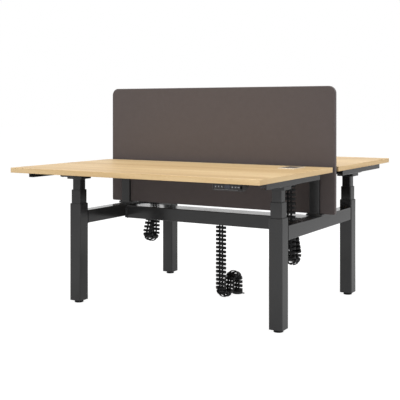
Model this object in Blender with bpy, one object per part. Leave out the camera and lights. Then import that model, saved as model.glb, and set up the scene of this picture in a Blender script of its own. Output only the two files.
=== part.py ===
"""Back-to-back height-adjustable bench: two sit-stand desks on one frame, with a screen between.

Units are metres and +Z is up. The origin is on the floor at the centre of the four feet, X runs
along the desks and the front user sits at -Y. The bench looks the same after half a turn about Z,
so each desk is built once at -Y and its twin hangs from an empty that is turned by 180 degrees.
"""
import math

import bmesh
import bpy
from mathutils import Vector

# Clearance between pieces that touch or run on each other
GAP = 0.0003

# Desktops
TOP_LENGTH = 1.400
TOP_DEPTH = 0.800
TOP_THICKNESS = 0.025
TOP_HEIGHT = 0.740
TOP_HEIGHT_LOWEST = 0.630
TOP_CORNER_RADIUS = 0.004
TOP_EDGE_CHAMFER = 0.001
TOPS_APART = 0.078

# Telescopic columns, three square tubes each
COLUMN_FROM_END = 0.107
COLUMN_PAST_MIDDLE = 0.001
TUBE_WALL = 0.002
TUBE_CORNER_RADIUS = 0.007
OUTER_SIZE = 0.070
MIDDLE_SIZE = 0.060
INNER_SIZE = 0.050
OUTER_TOP = 0.529
MIDDLE_LOWEST_STANDOUT = 0.018
MIDDLE_LENGTH = 0.517
INNER_LENGTH = 0.510
GUIDE_DEPTH = 0.040
SHOE_HEIGHT = 0.030
FLOOR_PLATE = 0.005
FOOT_HOLE_CLEARANCE = 0.0005

# Levelling feet
FOOT_RADIUS = 0.024
FOOT_HEIGHT = 0.013
FOOT_STEM_RADIUS = 0.004
FOOT_STEM_LENGTH = 0.022
FOOT_NUT_RADIUS = 0.009
FOOT_PAD_HEIGHT = 0.006
FOOT_PAD_RISE = 0.002

# Frame between the columns
CROSSBAR_WIDTH = 0.066
CROSSBAR_HEIGHT = 0.069
CROSSBAR_TOP = 0.489
BEAM_WIDTH = 0.136
BEAM_HEIGHT = 0.071
BEAM_TOP = 0.480
BEAM_WALL = 0.003
BEAM_FLANGE = 0.006
BEAM_FLANGE_MARGIN = 0.010
FRAME_CORNER_RADIUS = 0.005

# Screen, as long as the desktops, and the brackets that hold it
SCREEN_THICKNESS = 0.023
SCREEN_TOP = 1.150
SCREEN_TOP_RADIUS = 0.038
SCREEN_BOTTOM_RADIUS = 0.008
SCREEN_EDGE_ROUNDING = 0.004
POST_WIDTH = 0.054
POST_DEPTH = 0.016
POST_TOP = 0.722
POST_CORNER_RADIUS = 0.003
POST_BASE_LENGTH = 0.090
POST_BASE_MARGIN = 0.004
POST_BASE_HEIGHT = 0.0094

# Lift drives on the column heads
HEAD_LENGTH = 0.096
HEAD_DEPTH = 0.090
HEAD_THICKNESS = 0.015
DRIVE_DEPTH = 0.200
DRIVE_HEIGHT = 0.0397
DRIVE_CHAMFER = 0.002
DRIVE_CORNER_RADIUS = 0.008
SPINDLE_RADIUS = 0.007
SPINDLE_LENGTH = 0.505
SPINDLE_COLLAR_RADIUS = 0.013
SPINDLE_COLLAR_LENGTH = 0.014

# Side brackets and the crossrail under each desktop
ARM_LENGTH = 0.580
ARM_HEIGHT = 0.0292
ARM_WIDTH = 0.028
ARM_SHEET = 0.0025
ARM_FROM_END = 0.022
RAIL_WIDTH = 0.060
RAIL_HEIGHT = 0.027
RAIL_WALL = 0.002

# Control box beside the crossrail
CONTROL_LENGTH = 0.260
CONTROL_DEPTH = 0.072
CONTROL_HEIGHT = 0.022
CONTROL_CHAMFER = 0.003
CONTROL_RADIUS = 0.006
CONTROL_FROM_RAIL = 0.030
SOCKET_COUNT = 4
SOCKET_PITCH = 0.032
SOCKET_WIDTH = 0.020
SOCKET_HEIGHT = 0.010
SOCKET_DEPTH = 0.008

# Handset under the front edge, with its keys
HANDSET_FROM_END = 0.155
HANDSET_LENGTH = 0.150
HANDSET_DEPTH = 0.062
HANDSET_HEIGHT = 0.0290
HANDSET_SETBACK = 0.0012
HANDSET_LIP = 0.003
HANDSET_END_ROUNDING = 0.004
KEY_PITCH = 0.0155
KEY_FIRST = 0.0255
KEY_WIDTH = 0.0115
KEY_HEIGHT = 0.0135
KEY_DEPTH = 0.0040
KEY_PROUD = 0.0006
KEY_TRAVEL = 0.0008
KEY_EDGE = 0.0008
KEY_DROP = 0.0122
KEYS_PER_SIDE = 3
DISPLAY_WIDTH = 0.028
DISPLAY_HEIGHT = 0.015
DISPLAY_RECESS = 0.0010
DIAL_X = 0.0680
DIAL_RADIUS = 0.0042
DIAL_RECESS = 0.0020

# Cable port in the desktop, with a hinged lid
PORT_FROM_END = 0.168
PORT_FROM_EDGE = 0.126
PORT_LENGTH = 0.088
PORT_DEPTH = 0.140
PORT_RIM = 0.005
PORT_FRONT_RIM = 0.014
PORT_PROUD = 0.0030
PORT_REBATE = 0.0015
PORT_LEDGE = 0.002
PORT_COLLAR_WALL = 0.002
PORT_RADIUS = 0.004
LID_THICKNESS = 0.0030
LID_CLEARANCE = 0.0005
LID_SLOT = 0.013

# Cable spines: chains of oval vertebrae, each linked to the next by two struts; the claws of a
# vertebra get lower from its bar to their tips, which keeps them apart inside a fold
VERTEBRA_HALF_LENGTH = 0.032
VERTEBRA_HALF_WIDTH = 0.021
VERTEBRA_HEIGHT = 0.0138
VERTEBRA_TIP_HEIGHT = 0.0084
VERTEBRA_PITCH = 0.022
VERTEBRA_RIM = 0.004
VERTEBRA_MOUTH = 0.008
SPINE_BAR_HALF = 0.003
STRUT_X = 0.009
STRUT_HALF = 0.003
HANGER_THICKNESS = 0.003
HANGER_REACH = 0.064
HANGER_SHORT_REACH = 0.039
HANGER_PAD_HALF = 0.008
HANGER_WAIST = 0.018
BEAM_HANGER_DROP = 0.012
DESK_HANGER_DROP = 0.030

# Spine from the beam to the floor, folded twice before its weighted base
FLOOR_SPINE_X = 0.031
FLOOR_SPINE_FOLD_ANGLE = math.radians(83.3)
FLOOR_SPINE_FOLD = 0.077
FLOOR_SPINE_TURN_LIFT = 0.015
FLOOR_SPINE_CLEARANCE = 0.001
BASE_RADIUS = 0.029
BASE_HEIGHT = 0.016
BASE_CHAMFER = 0.003
BASE_TAB_LENGTH = 0.015
BASE_TAB_WIDTH = 0.008
BASE_TAB_HEIGHT = 0.005

# Spines that hang in a loop below the cable ports
DESK_SPINE_FROM_PORT = 0.012
DESK_SPINE_FOLD = 0.070
DESK_SPINE_BOTTOM = 0.250
DESK_SPINE_LEAN = math.radians(20.0)
DESK_SPINE_RETURN_TOP = 0.380

# Heights and places that follow from the sizes above
UNDERSIDE = TOP_HEIGHT - TOP_THICKNESS
LIFT = TOP_HEIGHT - TOP_HEIGHT_LOWEST
TOP_CENTRE_Y = TOPS_APART / 2 + TOP_DEPTH / 2
COLUMN_X = TOP_LENGTH / 2 - COLUMN_FROM_END
COLUMN_Y = TOP_CENTRE_Y + COLUMN_PAST_MIDDLE
SCREEN_LENGTH = TOP_LENGTH
HANDSET_X = TOP_LENGTH / 2 - HANDSET_FROM_END
PORT_X = TOP_LENGTH / 2 - PORT_FROM_END
PORT_Y = TOPS_APART / 2 + PORT_FROM_EDGE
DESK_SPINE_X = PORT_X - DESK_SPINE_FROM_PORT
DESK_SPINE_Y = PORT_Y
DRIVE_TOP = UNDERSIDE - GAP
HEAD_BOTTOM = DRIVE_TOP - DRIVE_HEIGHT - HEAD_THICKNESS
INNER_TOP = HEAD_BOTTOM - GAP
MIDDLE_TOP = OUTER_TOP + MIDDLE_LOWEST_STANDOUT + LIFT / 2
OUTER_BOTTOM = FOOT_HEIGHT + GAP
BEAM_END = COLUMN_X - CROSSBAR_WIDTH / 2 - GAP
POST_BOTTOM = CROSSBAR_TOP + POST_BASE_HEIGHT
SCREEN_BOTTOM = POST_BOTTOM + GAP
ARM_OUTER_X = TOP_LENGTH / 2 - ARM_FROM_END
DRIVE_INNER_X = COLUMN_X - HEAD_LENGTH / 2
HANDSET_TOP = UNDERSIDE - GAP
HANDSET_FRONT_Y = TOPS_APART / 2 + TOP_DEPTH - HANDSET_SETBACK
KEY_Z = HANDSET_TOP - KEY_DROP
OPENING_LENGTH = PORT_LENGTH - 2 * PORT_RIM
OPENING_DEPTH = PORT_DEPTH - PORT_RIM - PORT_FRONT_RIM
OPENING_Y = -PORT_Y + (PORT_FRONT_RIM - PORT_RIM) / 2
COLLAR_LENGTH = OPENING_LENGTH - 2 * PORT_LEDGE + 2 * PORT_COLLAR_WALL
COLLAR_DEPTH = OPENING_DEPTH - 2 * PORT_LEDGE + 2 * PORT_COLLAR_WALL
LID_HINGE_Y = OPENING_Y + OPENING_DEPTH / 2 - LID_CLEARANCE
LID_TOP = TOP_HEIGHT + PORT_PROUD

SIDES = {"left": -1, "right": 1}
ENDS = {"front": -1, "rear": 1}


def material(name, colour, roughness, metallic=0.0):
    """A plain Principled material with one linear colour."""
    made = bpy.data.materials.new(name)
    made.use_nodes = True
    shader = made.node_tree.nodes["Principled BSDF"]
    shader.inputs["Base Color"].default_value = (*colour, 1.0)
    shader.inputs["Roughness"].default_value = roughness
    shader.inputs["Metallic"].default_value = metallic
    made.diffuse_color = (*colour, 1.0)
    return made


def rounded_rectangle(length, width, radius, points_per_corner=3):
    """Corner points of a rectangle with round corners, counter-clockwise from +X +Y."""
    points = []
    for quarter in range(4):
        sign_x = 1 if quarter in (0, 3) else -1
        sign_y = 1 if quarter in (0, 1) else -1
        centre_x = sign_x * (length / 2 - radius)
        centre_y = sign_y * (width / 2 - radius)
        for step in range(points_per_corner):
            angle = math.pi / 2 * (quarter + step / (points_per_corner - 1))
            points.append((centre_x + radius * math.cos(angle), centre_y + radius * math.sin(angle)))
    return points


def circle(radius, count=12):
    """Points of a circle whose order matches rounded_rectangle's corners."""
    step = 2 * math.pi / count
    return [(radius * math.cos((i + 0.5) * step), radius * math.sin((i + 0.5) * step))
            for i in range(count)]


def level(points, height, centre=(0.0, 0.0)):
    """Lift plane points to a height above the floor."""
    return [(x + centre[0], y + centre[1], height) for x, y in points]


def along_x(points, x, centre=(0.0, 0.0)):
    """Stand plane points up in the YZ plane at a place along X."""
    return [(x, a + centre[0], b + centre[1]) for a, b in points]


def along_y(points, y, centre=(0.0, 0.0)):
    """Stand plane points up in the XZ plane at a place along Y."""
    return [(a + centre[0], y, b + centre[1]) for a, b in points]


def loft(bm, loops, closed=False):
    """Skin matching loops of points; the ends are capped unless the last loop meets the first."""
    rings = [[bm.verts.new(point) for point in loop] for loop in loops]
    pairs = list(zip(rings, rings[1:] + rings[:1])) if closed else list(zip(rings, rings[1:]))
    for low, high in pairs:
        for i in range(len(low)):
            j = (i + 1) % len(low)
            bm.faces.new((low[i], low[j], high[j], high[i]))
    if not closed:
        bm.faces.new(rings[0][::-1])
        bm.faces.new(rings[-1])


def box(bm, low, high):
    """An upright block between two corners."""
    corners = [(low[0], low[1]), (high[0], low[1]), (high[0], high[1]), (low[0], high[1])]
    loft(bm, [level(corners, low[2]), level(corners, high[2])])


def finish(name, bm, look, parent=None, place=(0.0, 0.0, 0.0), smooth_angle=40):
    """Turn a bmesh into a named object at its place."""
    bmesh.ops.recalc_face_normals(bm, faces=bm.faces)
    mesh = bpy.data.meshes.new(name)
    bm.to_mesh(mesh)
    bm.free()
    mesh.shade_smooth()
    mesh.set_sharp_from_angle(angle=math.radians(smooth_angle))
    mesh.materials.append(look)
    made = bpy.data.objects.new(name, mesh)
    made.location = place
    made.parent = parent
    bpy.context.collection.objects.link(made)
    return made


def cut(target, bm, name, operation="DIFFERENCE", parent=None, place=(0.0, 0.0, 0.0)):
    """Add a Boolean to an object; the cutter stays in the scene as a hidden wire guide."""
    cutter = finish(name, bm, target.data.materials[0], parent, place)
    cutter.display_type = "WIRE"
    cutter.hide_render = True
    cutter.hide_set(True)
    modifier = target.modifiers.new(name, "BOOLEAN")
    modifier.operation = operation
    modifier.solver = "EXACT"
    modifier.object = cutter


def square_tube(bm, size, bore, outer_bore, bottom, top):
    """Sliding square tube: a bearing collar in its mouth, and a shoe that runs in the tube below."""
    outside = rounded_rectangle(size, size, TUBE_CORNER_RADIUS)
    inner = size - 2 * TUBE_WALL
    inside = rounded_rectangle(inner, inner, TUBE_CORNER_RADIUS - TUBE_WALL)
    shoe_size = outer_bore - 2 * GAP
    shoe = rounded_rectangle(shoe_size, shoe_size, TUBE_CORNER_RADIUS - TUBE_WALL)
    loops = [
        level(shoe, bottom),
        level(shoe, bottom + SHOE_HEIGHT),
        level(outside, bottom + SHOE_HEIGHT),
        level(outside, top),
    ]
    if bore:
        collar = rounded_rectangle(bore, bore, TUBE_CORNER_RADIUS)
        loops += [level(collar, top), level(collar, top - GUIDE_DEPTH)]
        loops += [level(inside, top - GUIDE_DEPTH), level(inside, bottom)]
    else:
        loops += [level(inside, top), level(inside, bottom)]
    loft(bm, loops, closed=True)


def outer_column(name, look, place):
    """Lower tube of a column: a bearing collar in its mouth and a floor plate for the foot."""
    bm = bmesh.new()
    inner = OUTER_SIZE - 2 * TUBE_WALL
    bore = MIDDLE_SIZE + 2 * GAP
    outside = rounded_rectangle(OUTER_SIZE, OUTER_SIZE, TUBE_CORNER_RADIUS)
    inside = rounded_rectangle(inner, inner, TUBE_CORNER_RADIUS - TUBE_WALL)
    collar = rounded_rectangle(bore, bore, TUBE_CORNER_RADIUS)
    hole = circle(FOOT_STEM_RADIUS + FOOT_HOLE_CLEARANCE)
    plate_top = OUTER_BOTTOM + FLOOR_PLATE
    loops = [
        level(outside, OUTER_BOTTOM),
        level(outside, OUTER_TOP),
        level(collar, OUTER_TOP),
        level(collar, OUTER_TOP - GUIDE_DEPTH),
        level(inside, OUTER_TOP - GUIDE_DEPTH),
        level(inside, plate_top),
        level(hole, plate_top),
        level(hole, OUTER_BOTTOM),
    ]
    loft(bm, loops, closed=True)
    return finish(name, bm, look, place=place)


def levelling_foot(name, look, place):
    """Turned foot: a pad on the floor, a nut face and a stem up into the column."""
    bm = bmesh.new()
    profile = [
        (FOOT_RADIUS, 0.0),
        (FOOT_RADIUS, FOOT_PAD_HEIGHT),
        (FOOT_NUT_RADIUS, FOOT_PAD_HEIGHT + FOOT_PAD_RISE),
        (FOOT_NUT_RADIUS, FOOT_HEIGHT),
        (FOOT_STEM_RADIUS, FOOT_HEIGHT),
        (FOOT_STEM_RADIUS, FOOT_HEIGHT + FOOT_STEM_LENGTH),
    ]
    loft(bm, [level(circle(radius), height) for radius, height in profile])
    return finish(name, bm, look, place=place)


def crossbar(name, look, place):
    """Box section between the front and rear columns, with the welded bracket of the screen.

    The bracket is a base plate and an upright on each side of the screen.
    """
    bm = bmesh.new()
    reach = COLUMN_Y - OUTER_SIZE / 2 - GAP
    centre = (0.0, CROSSBAR_TOP - CROSSBAR_HEIGHT / 2)
    outside = rounded_rectangle(CROSSBAR_WIDTH, CROSSBAR_HEIGHT, FRAME_CORNER_RADIUS)
    inner_size = (CROSSBAR_WIDTH - 2 * BEAM_WALL, CROSSBAR_HEIGHT - 2 * BEAM_WALL)
    inside = rounded_rectangle(*inner_size, FRAME_CORNER_RADIUS - BEAM_WALL)
    loops = [
        along_y(outside, -reach, centre),
        along_y(outside, reach, centre),
        along_y(inside, reach, centre),
        along_y(inside, -reach, centre),
    ]
    loft(bm, loops, closed=True)
    bar = finish(name, bm, look, place=place)

    inner = SCREEN_THICKNESS / 2 + GAP
    outer = inner + POST_DEPTH
    base_depth = 2 * (outer + POST_BASE_MARGIN)
    plate = rounded_rectangle(POST_BASE_LENGTH, base_depth, FRAME_CORNER_RADIUS)
    base = bmesh.new()
    loft(base, [level(plate, CROSSBAR_TOP - BEAM_WALL / 2), level(plate, POST_BOTTOM)])
    cut(bar, base, f"{name}_bracket_base", "UNION", place=place)
    section = rounded_rectangle(POST_WIDTH, POST_DEPTH, POST_CORNER_RADIUS)
    for end, sign in ENDS.items():
        middle = (0.0, sign * (inner + outer) / 2)
        upright = bmesh.new()
        loft(upright, [level(section, POST_BOTTOM - BEAM_WALL, middle), level(section, POST_TOP, middle)])
        cut(bar, upright, f"{name}_bracket_{end}", "UNION", place=place)
    return bar


def central_beam(look):
    """Box section between the crossbars, with a flange welded on each end."""
    bm = bmesh.new()
    centre = (0.0, BEAM_TOP - BEAM_HEIGHT / 2)
    face = BEAM_END - BEAM_FLANGE
    margin = 2 * BEAM_FLANGE_MARGIN
    outside = rounded_rectangle(BEAM_WIDTH, BEAM_HEIGHT, FRAME_CORNER_RADIUS)
    inner_size = (BEAM_WIDTH - 2 * BEAM_WALL, BEAM_HEIGHT - 2 * BEAM_WALL)
    inside = rounded_rectangle(*inner_size, FRAME_CORNER_RADIUS - BEAM_WALL)
    flange = rounded_rectangle(BEAM_WIDTH + margin, BEAM_HEIGHT - 0.004, FRAME_CORNER_RADIUS)
    loops = [
        along_x(flange, -BEAM_END, centre),
        along_x(flange, -face, centre),
        along_x(outside, -face, centre),
        along_x(outside, face, centre),
        along_x(flange, face, centre),
        along_x(flange, BEAM_END, centre),
        along_x(inside, BEAM_END, centre),
        along_x(inside, -BEAM_END, centre),
    ]
    loft(bm, loops, closed=True)
    return finish("central_beam", bm, look)


def screen_outline(inset):
    """Screen outline in XZ with large upper corners, counter-clockwise from the right end."""
    half = SCREEN_LENGTH / 2
    corners = [
        (half, SCREEN_BOTTOM, SCREEN_BOTTOM_RADIUS, -90, 3),
        (half, SCREEN_TOP, SCREEN_TOP_RADIUS, 0, 7),
        (-half, SCREEN_TOP, SCREEN_TOP_RADIUS, 90, 7),
        (-half, SCREEN_BOTTOM, SCREEN_BOTTOM_RADIUS, 180, 3),
    ]
    points = []
    for x, z, radius, start, count in corners:
        centre_x = x - math.copysign(radius, x)
        centre_z = z - radius if z == SCREEN_TOP else z + radius
        for step in range(count):
            angle = math.radians(start + 90 * step / (count - 1))
            reach = radius - inset
            points.append((centre_x + reach * math.cos(angle), centre_z + reach * math.sin(angle)))
    return points


def screen_panel(look):
    """Upholstered panel with softened edges."""
    bm = bmesh.new()
    half = SCREEN_THICKNESS / 2
    edge = SCREEN_EDGE_ROUNDING
    full = screen_outline(0.0)
    soft = screen_outline(edge * 0.3)
    flat = screen_outline(edge)
    loops = [
        along_y(flat, -half),
        along_y(soft, -half + edge * 0.3),
        along_y(full, -half + edge),
        along_y(full, half - edge),
        along_y(soft, half - edge * 0.3),
        along_y(flat, half),
    ]
    loft(bm, loops)
    return finish("screen_panel", bm, look)


def drive(name, look, parent, place):
    """Gear-motor housing on a column's head."""
    bm = bmesh.new()
    shrink = 2 * DRIVE_CHAMFER
    head = rounded_rectangle(HEAD_LENGTH, HEAD_DEPTH, DRIVE_CORNER_RADIUS)
    head_foot = rounded_rectangle(HEAD_LENGTH - shrink, HEAD_DEPTH - shrink, DRIVE_CORNER_RADIUS)
    case = rounded_rectangle(HEAD_LENGTH, DRIVE_DEPTH, DRIVE_CORNER_RADIUS)
    case_rim = rounded_rectangle(HEAD_LENGTH - shrink, DRIVE_DEPTH - shrink, DRIVE_CORNER_RADIUS)
    case_bottom = DRIVE_TOP - DRIVE_HEIGHT
    loops = [
        level(head_foot, HEAD_BOTTOM),
        level(head, HEAD_BOTTOM + DRIVE_CHAMFER),
        level(head, case_bottom),
        level(case_rim, case_bottom + DRIVE_CHAMFER / 2),
        level(case, case_bottom + 2 * DRIVE_CHAMFER),
        level(case, DRIVE_TOP - DRIVE_CHAMFER),
        level(case_rim, DRIVE_TOP),
    ]
    loft(bm, loops)
    return finish(name, bm, look, parent, place)


def spindle(name, look, parent, place):
    """Lifting screw that hangs from the drive inside the column, with its coupling collar."""
    bm = bmesh.new()
    top = HEAD_BOTTOM - GAP
    profile = [
        (SPINDLE_RADIUS - 0.001, top - SPINDLE_LENGTH),
        (SPINDLE_RADIUS, top - SPINDLE_LENGTH + 0.001),
        (SPINDLE_RADIUS, top - SPINDLE_COLLAR_LENGTH),
        (SPINDLE_COLLAR_RADIUS, top - SPINDLE_COLLAR_LENGTH),
        (SPINDLE_COLLAR_RADIUS, top),
    ]
    loft(bm, [level(circle(radius), height) for radius, height in profile])
    return finish(name, bm, look, parent, place)


def side_bracket(name, look, parent, side):
    """Folded channel under one end of the desktop, open towards the column, its ends square."""
    bm = bmesh.new()
    top = UNDERSIDE - GAP
    low = top - ARM_HEIGHT
    outer = side * ARM_OUTER_X
    inner = side * (ARM_OUTER_X - ARM_WIDTH)
    web = side * (ARM_OUTER_X - ARM_SHEET)
    section = [
        (outer, low),
        (outer, top),
        (inner, top),
        (inner, top - ARM_SHEET),
        (web, top - ARM_SHEET),
        (web, low + ARM_SHEET),
        (inner, low + ARM_SHEET),
        (inner, low),
    ]
    half = ARM_LENGTH / 2
    loft(bm, [along_y(section, -COLUMN_Y - half), along_y(section, -COLUMN_Y + half)])
    return finish(name, bm, look, parent)


def crossrail(name, look, parent):
    """Box section between the two drives, under the desktop."""
    bm = bmesh.new()
    reach = DRIVE_INNER_X - GAP
    centre = (-COLUMN_Y, UNDERSIDE - GAP - RAIL_HEIGHT / 2)
    outside = rounded_rectangle(RAIL_WIDTH, RAIL_HEIGHT, RAIL_WALL + 0.001)
    inside = rounded_rectangle(RAIL_WIDTH - 2 * RAIL_WALL, RAIL_HEIGHT - 2 * RAIL_WALL, 0.001)
    loops = [
        along_x(outside, -reach, centre),
        along_x(outside, reach, centre),
        along_x(inside, reach, centre),
        along_x(inside, -reach, centre),
    ]
    loft(bm, loops, closed=True)
    return finish(name, bm, look, parent)


def control_box(name, look, parent):
    """Control unit behind the crossrail, with a row of sockets in its rear side."""
    bm = bmesh.new()
    top = UNDERSIDE - GAP
    centre = (0.0, -COLUMN_Y + RAIL_WIDTH / 2 + CONTROL_FROM_RAIL + CONTROL_DEPTH / 2)
    shape = rounded_rectangle(CONTROL_LENGTH, CONTROL_DEPTH, CONTROL_RADIUS)
    shrink = 2 * CONTROL_CHAMFER
    small = rounded_rectangle(CONTROL_LENGTH - shrink, CONTROL_DEPTH - shrink, CONTROL_RADIUS)
    loops = [
        level(small, top - CONTROL_HEIGHT, centre),
        level(shape, top - CONTROL_HEIGHT + CONTROL_CHAMFER, centre),
        level(shape, top, centre),
    ]
    loft(bm, loops)
    case = finish(name, bm, look, parent)
    sockets = bmesh.new()
    wall = centre[1] + CONTROL_DEPTH / 2
    middle = top - CONTROL_HEIGHT / 2
    for index in range(SOCKET_COUNT):
        x = (index - (SOCKET_COUNT - 1) / 2) * SOCKET_PITCH
        low = (x - SOCKET_WIDTH / 2, wall - SOCKET_DEPTH, middle - SOCKET_HEIGHT / 2)
        high = (x + SOCKET_WIDTH / 2, wall + SOCKET_DEPTH, middle + SOCKET_HEIGHT / 2)
        box(sockets, low, high)
    cut(case, sockets, f"{name}_sockets", parent=parent)
    return case


def desktop(name, look, parent):
    """Wooden top with a rebated hole for the cable port."""
    bm = bmesh.new()
    centre = (0.0, -TOP_CENTRE_Y)
    trim = 2 * TOP_EDGE_CHAMFER
    outline = rounded_rectangle(TOP_LENGTH, TOP_DEPTH, TOP_CORNER_RADIUS)
    inset = rounded_rectangle(TOP_LENGTH - trim, TOP_DEPTH - trim, TOP_CORNER_RADIUS)
    rebate = rounded_rectangle(PORT_LENGTH + 2 * GAP, PORT_DEPTH + 2 * GAP, PORT_RADIUS)
    hole = rounded_rectangle(COLLAR_LENGTH + 2 * GAP, COLLAR_DEPTH + 2 * GAP, PORT_RADIUS)
    rebate_centre = (PORT_X, -PORT_Y)
    hole_centre = (PORT_X, OPENING_Y)
    loops = [
        level(inset, UNDERSIDE, centre),
        level(outline, UNDERSIDE + TOP_EDGE_CHAMFER, centre),
        level(outline, TOP_HEIGHT - TOP_EDGE_CHAMFER, centre),
        level(inset, TOP_HEIGHT, centre),
        level(rebate, TOP_HEIGHT, rebate_centre),
        level(rebate, TOP_HEIGHT - PORT_REBATE, rebate_centre),
        level(hole, TOP_HEIGHT - PORT_REBATE, hole_centre),
        level(hole, UNDERSIDE, hole_centre),
    ]
    loft(bm, loops, closed=True)
    return finish(name, bm, look, parent)


def flap_frame(name, look, parent):
    """Frame of the cable port: a rim in the rebate, a ledge for the lid and a collar below."""
    bm = bmesh.new()
    rim_centre = (PORT_X, -PORT_Y)
    centre = (PORT_X, OPENING_Y)
    rim = rounded_rectangle(PORT_LENGTH, PORT_DEPTH, PORT_RADIUS)
    rim_top = rounded_rectangle(PORT_LENGTH - 0.0016, PORT_DEPTH - 0.0016, PORT_RADIUS)
    opening = rounded_rectangle(OPENING_LENGTH, OPENING_DEPTH, PORT_RADIUS / 2)
    ledge_length = OPENING_LENGTH - 2 * PORT_LEDGE
    ledge_depth = OPENING_DEPTH - 2 * PORT_LEDGE
    throat = rounded_rectangle(ledge_length, ledge_depth, PORT_RADIUS / 2)
    collar = rounded_rectangle(COLLAR_LENGTH, COLLAR_DEPTH, PORT_RADIUS)
    seat = TOP_HEIGHT - PORT_REBATE + GAP
    ledge_z = LID_TOP - LID_THICKNESS - GAP
    collar_bottom = UNDERSIDE + GAP
    loops = [
        level(rim, seat, rim_centre),
        level(rim, LID_TOP - 0.0008, rim_centre),
        level(rim_top, LID_TOP, rim_centre),
        level(opening, LID_TOP, centre),
        level(opening, ledge_z, centre),
        level(throat, ledge_z, centre),
        level(throat, collar_bottom, centre),
        level(collar, collar_bottom, centre),
        level(collar, seat, centre),
    ]
    loft(bm, loops, closed=True)
    return finish(name, bm, look, parent)


def flap_lid(name, look, parent):
    """Lid of the cable port; its origin is on the hinge line at its rear upper edge."""
    bm = bmesh.new()
    length = OPENING_LENGTH - 2 * LID_CLEARANCE
    depth = OPENING_DEPTH - LID_CLEARANCE - LID_SLOT
    shape = rounded_rectangle(length, depth, PORT_RADIUS / 2)
    top_shape = rounded_rectangle(length - 0.0006, depth - 0.0006, PORT_RADIUS / 2)
    centre = (0.0, -depth / 2)
    loops = [
        level(shape, -LID_THICKNESS, centre),
        level(shape, -0.0003, centre),
        level(top_shape, 0.0, centre),
    ]
    loft(bm, loops)
    return finish(name, bm, look, parent, (PORT_X, LID_HINGE_Y, LID_TOP))


def key_offsets():
    """Places of the keys along the handset, from its centre."""
    offsets = [KEY_FIRST + step * KEY_PITCH for step in range(KEYS_PER_SIDE)]
    return sorted([-offset for offset in offsets] + offsets)


def handset(name, look, parent):
    """Handset body with a lower lip, key pockets, a display recess and a round end recess."""
    bm = bmesh.new()
    bottom = HANDSET_TOP - HANDSET_HEIGHT
    back = -HANDSET_FRONT_Y + HANDSET_DEPTH
    front = -HANDSET_FRONT_Y
    profile = [
        (front, HANDSET_TOP),
        (front, bottom + 2.2 * HANDSET_LIP),
        (front - HANDSET_LIP * 0.3, bottom + 1.6 * HANDSET_LIP),
        (front - HANDSET_LIP * 0.3, bottom + 0.5 * HANDSET_LIP),
        (front + HANDSET_LIP, bottom),
        (front + HANDSET_DEPTH * 0.45, bottom),
        (back, HANDSET_TOP - HANDSET_HEIGHT * 0.35),
        (back, HANDSET_TOP),
    ]
    middle_y = (front + back) / 2
    middle_z = HANDSET_TOP
    half = HANDSET_LENGTH / 2
    loops = []
    for x, scale in ((-half, 0.86), (-half + HANDSET_END_ROUNDING, 1.0),
                     (half - HANDSET_END_ROUNDING, 1.0), (half, 0.86)):
        scaled = [(middle_y + (y - middle_y) * scale, middle_z + (z - middle_z) * scale)
                  for y, z in profile]
        loops.append(along_x(scaled, HANDSET_X + x))
    loft(bm, loops)
    body = finish(name, bm, look, parent)

    pockets = bmesh.new()
    pocket_depth = KEY_DEPTH - KEY_PROUD + KEY_TRAVEL + GAP
    out = front - 2 * HANDSET_LIP
    for offset in key_offsets():
        x = HANDSET_X + offset
        low = (x - KEY_WIDTH / 2 - GAP, out, KEY_Z - KEY_HEIGHT / 2 - GAP)
        high = (x + KEY_WIDTH / 2 + GAP, front + pocket_depth, KEY_Z + KEY_HEIGHT / 2 + GAP)
        box(pockets, low, high)
    low = (HANDSET_X - DISPLAY_WIDTH / 2, out, KEY_Z - DISPLAY_HEIGHT / 2)
    high = (HANDSET_X + DISPLAY_WIDTH / 2, front + DISPLAY_RECESS, KEY_Z + DISPLAY_HEIGHT / 2)
    box(pockets, low, high)
    dial_centre = (HANDSET_X + DIAL_X, KEY_Z)
    ring = circle(DIAL_RADIUS)
    loft(pockets, [along_y(ring, out, dial_centre), along_y(ring, front + DIAL_RECESS, dial_centre)])
    cut(body, pockets, f"{name}_pockets", parent=parent)
    return body


def key(name, look, parent, offset):
    """One push key with a softened face; its origin is at the centre of the handset's face."""
    bm = bmesh.new()
    face = rounded_rectangle(KEY_WIDTH - 2 * KEY_EDGE, KEY_HEIGHT - 2 * KEY_EDGE, KEY_EDGE, 2)
    body = rounded_rectangle(KEY_WIDTH, KEY_HEIGHT, KEY_EDGE, 2)
    loops = [
        along_y(face, -KEY_PROUD),
        along_y(body, -KEY_PROUD + KEY_EDGE / 2),
        along_y(body, KEY_DEPTH - KEY_PROUD),
    ]
    loft(bm, loops)
    return finish(name, bm, look, parent, (HANDSET_X + offset, -HANDSET_FRONT_Y, KEY_Z))


def vertebra_half():
    """Right half of a vertebra's outline, from the bar's lower edge round to its upper edge.

    Two claws curve from the end of the bar towards the mouths that the cables go in by.
    """
    upper = []
    root = math.asin(SPINE_BAR_HALF / VERTEBRA_HALF_WIDTH)
    claw_end = math.acos(VERTEBRA_MOUTH / 2 / VERTEBRA_HALF_LENGTH)
    for share in (0.0, 0.28, 0.64, 1.0):
        angle = root + (claw_end - root) * share
        upper.append((VERTEBRA_HALF_LENGTH * math.cos(angle), VERTEBRA_HALF_WIDTH * math.sin(angle)))
    upper.append((VERTEBRA_HALF_LENGTH - VERTEBRA_RIM, SPINE_BAR_HALF))
    lower = [(x, -y) for x, y in reversed(upper)]
    return lower + upper


def hanger_half(reach):
    """Half of a hanger: a narrow bar that widens into a screw pad."""
    upper = [
        (reach, HANGER_PAD_HALF),
        (HANGER_WAIST, HANGER_PAD_HALF),
        (HANGER_WAIST, SPINE_BAR_HALF),
    ]
    lower = [(x, -y) for x, y in reversed(upper)]
    return lower + upper


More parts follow.
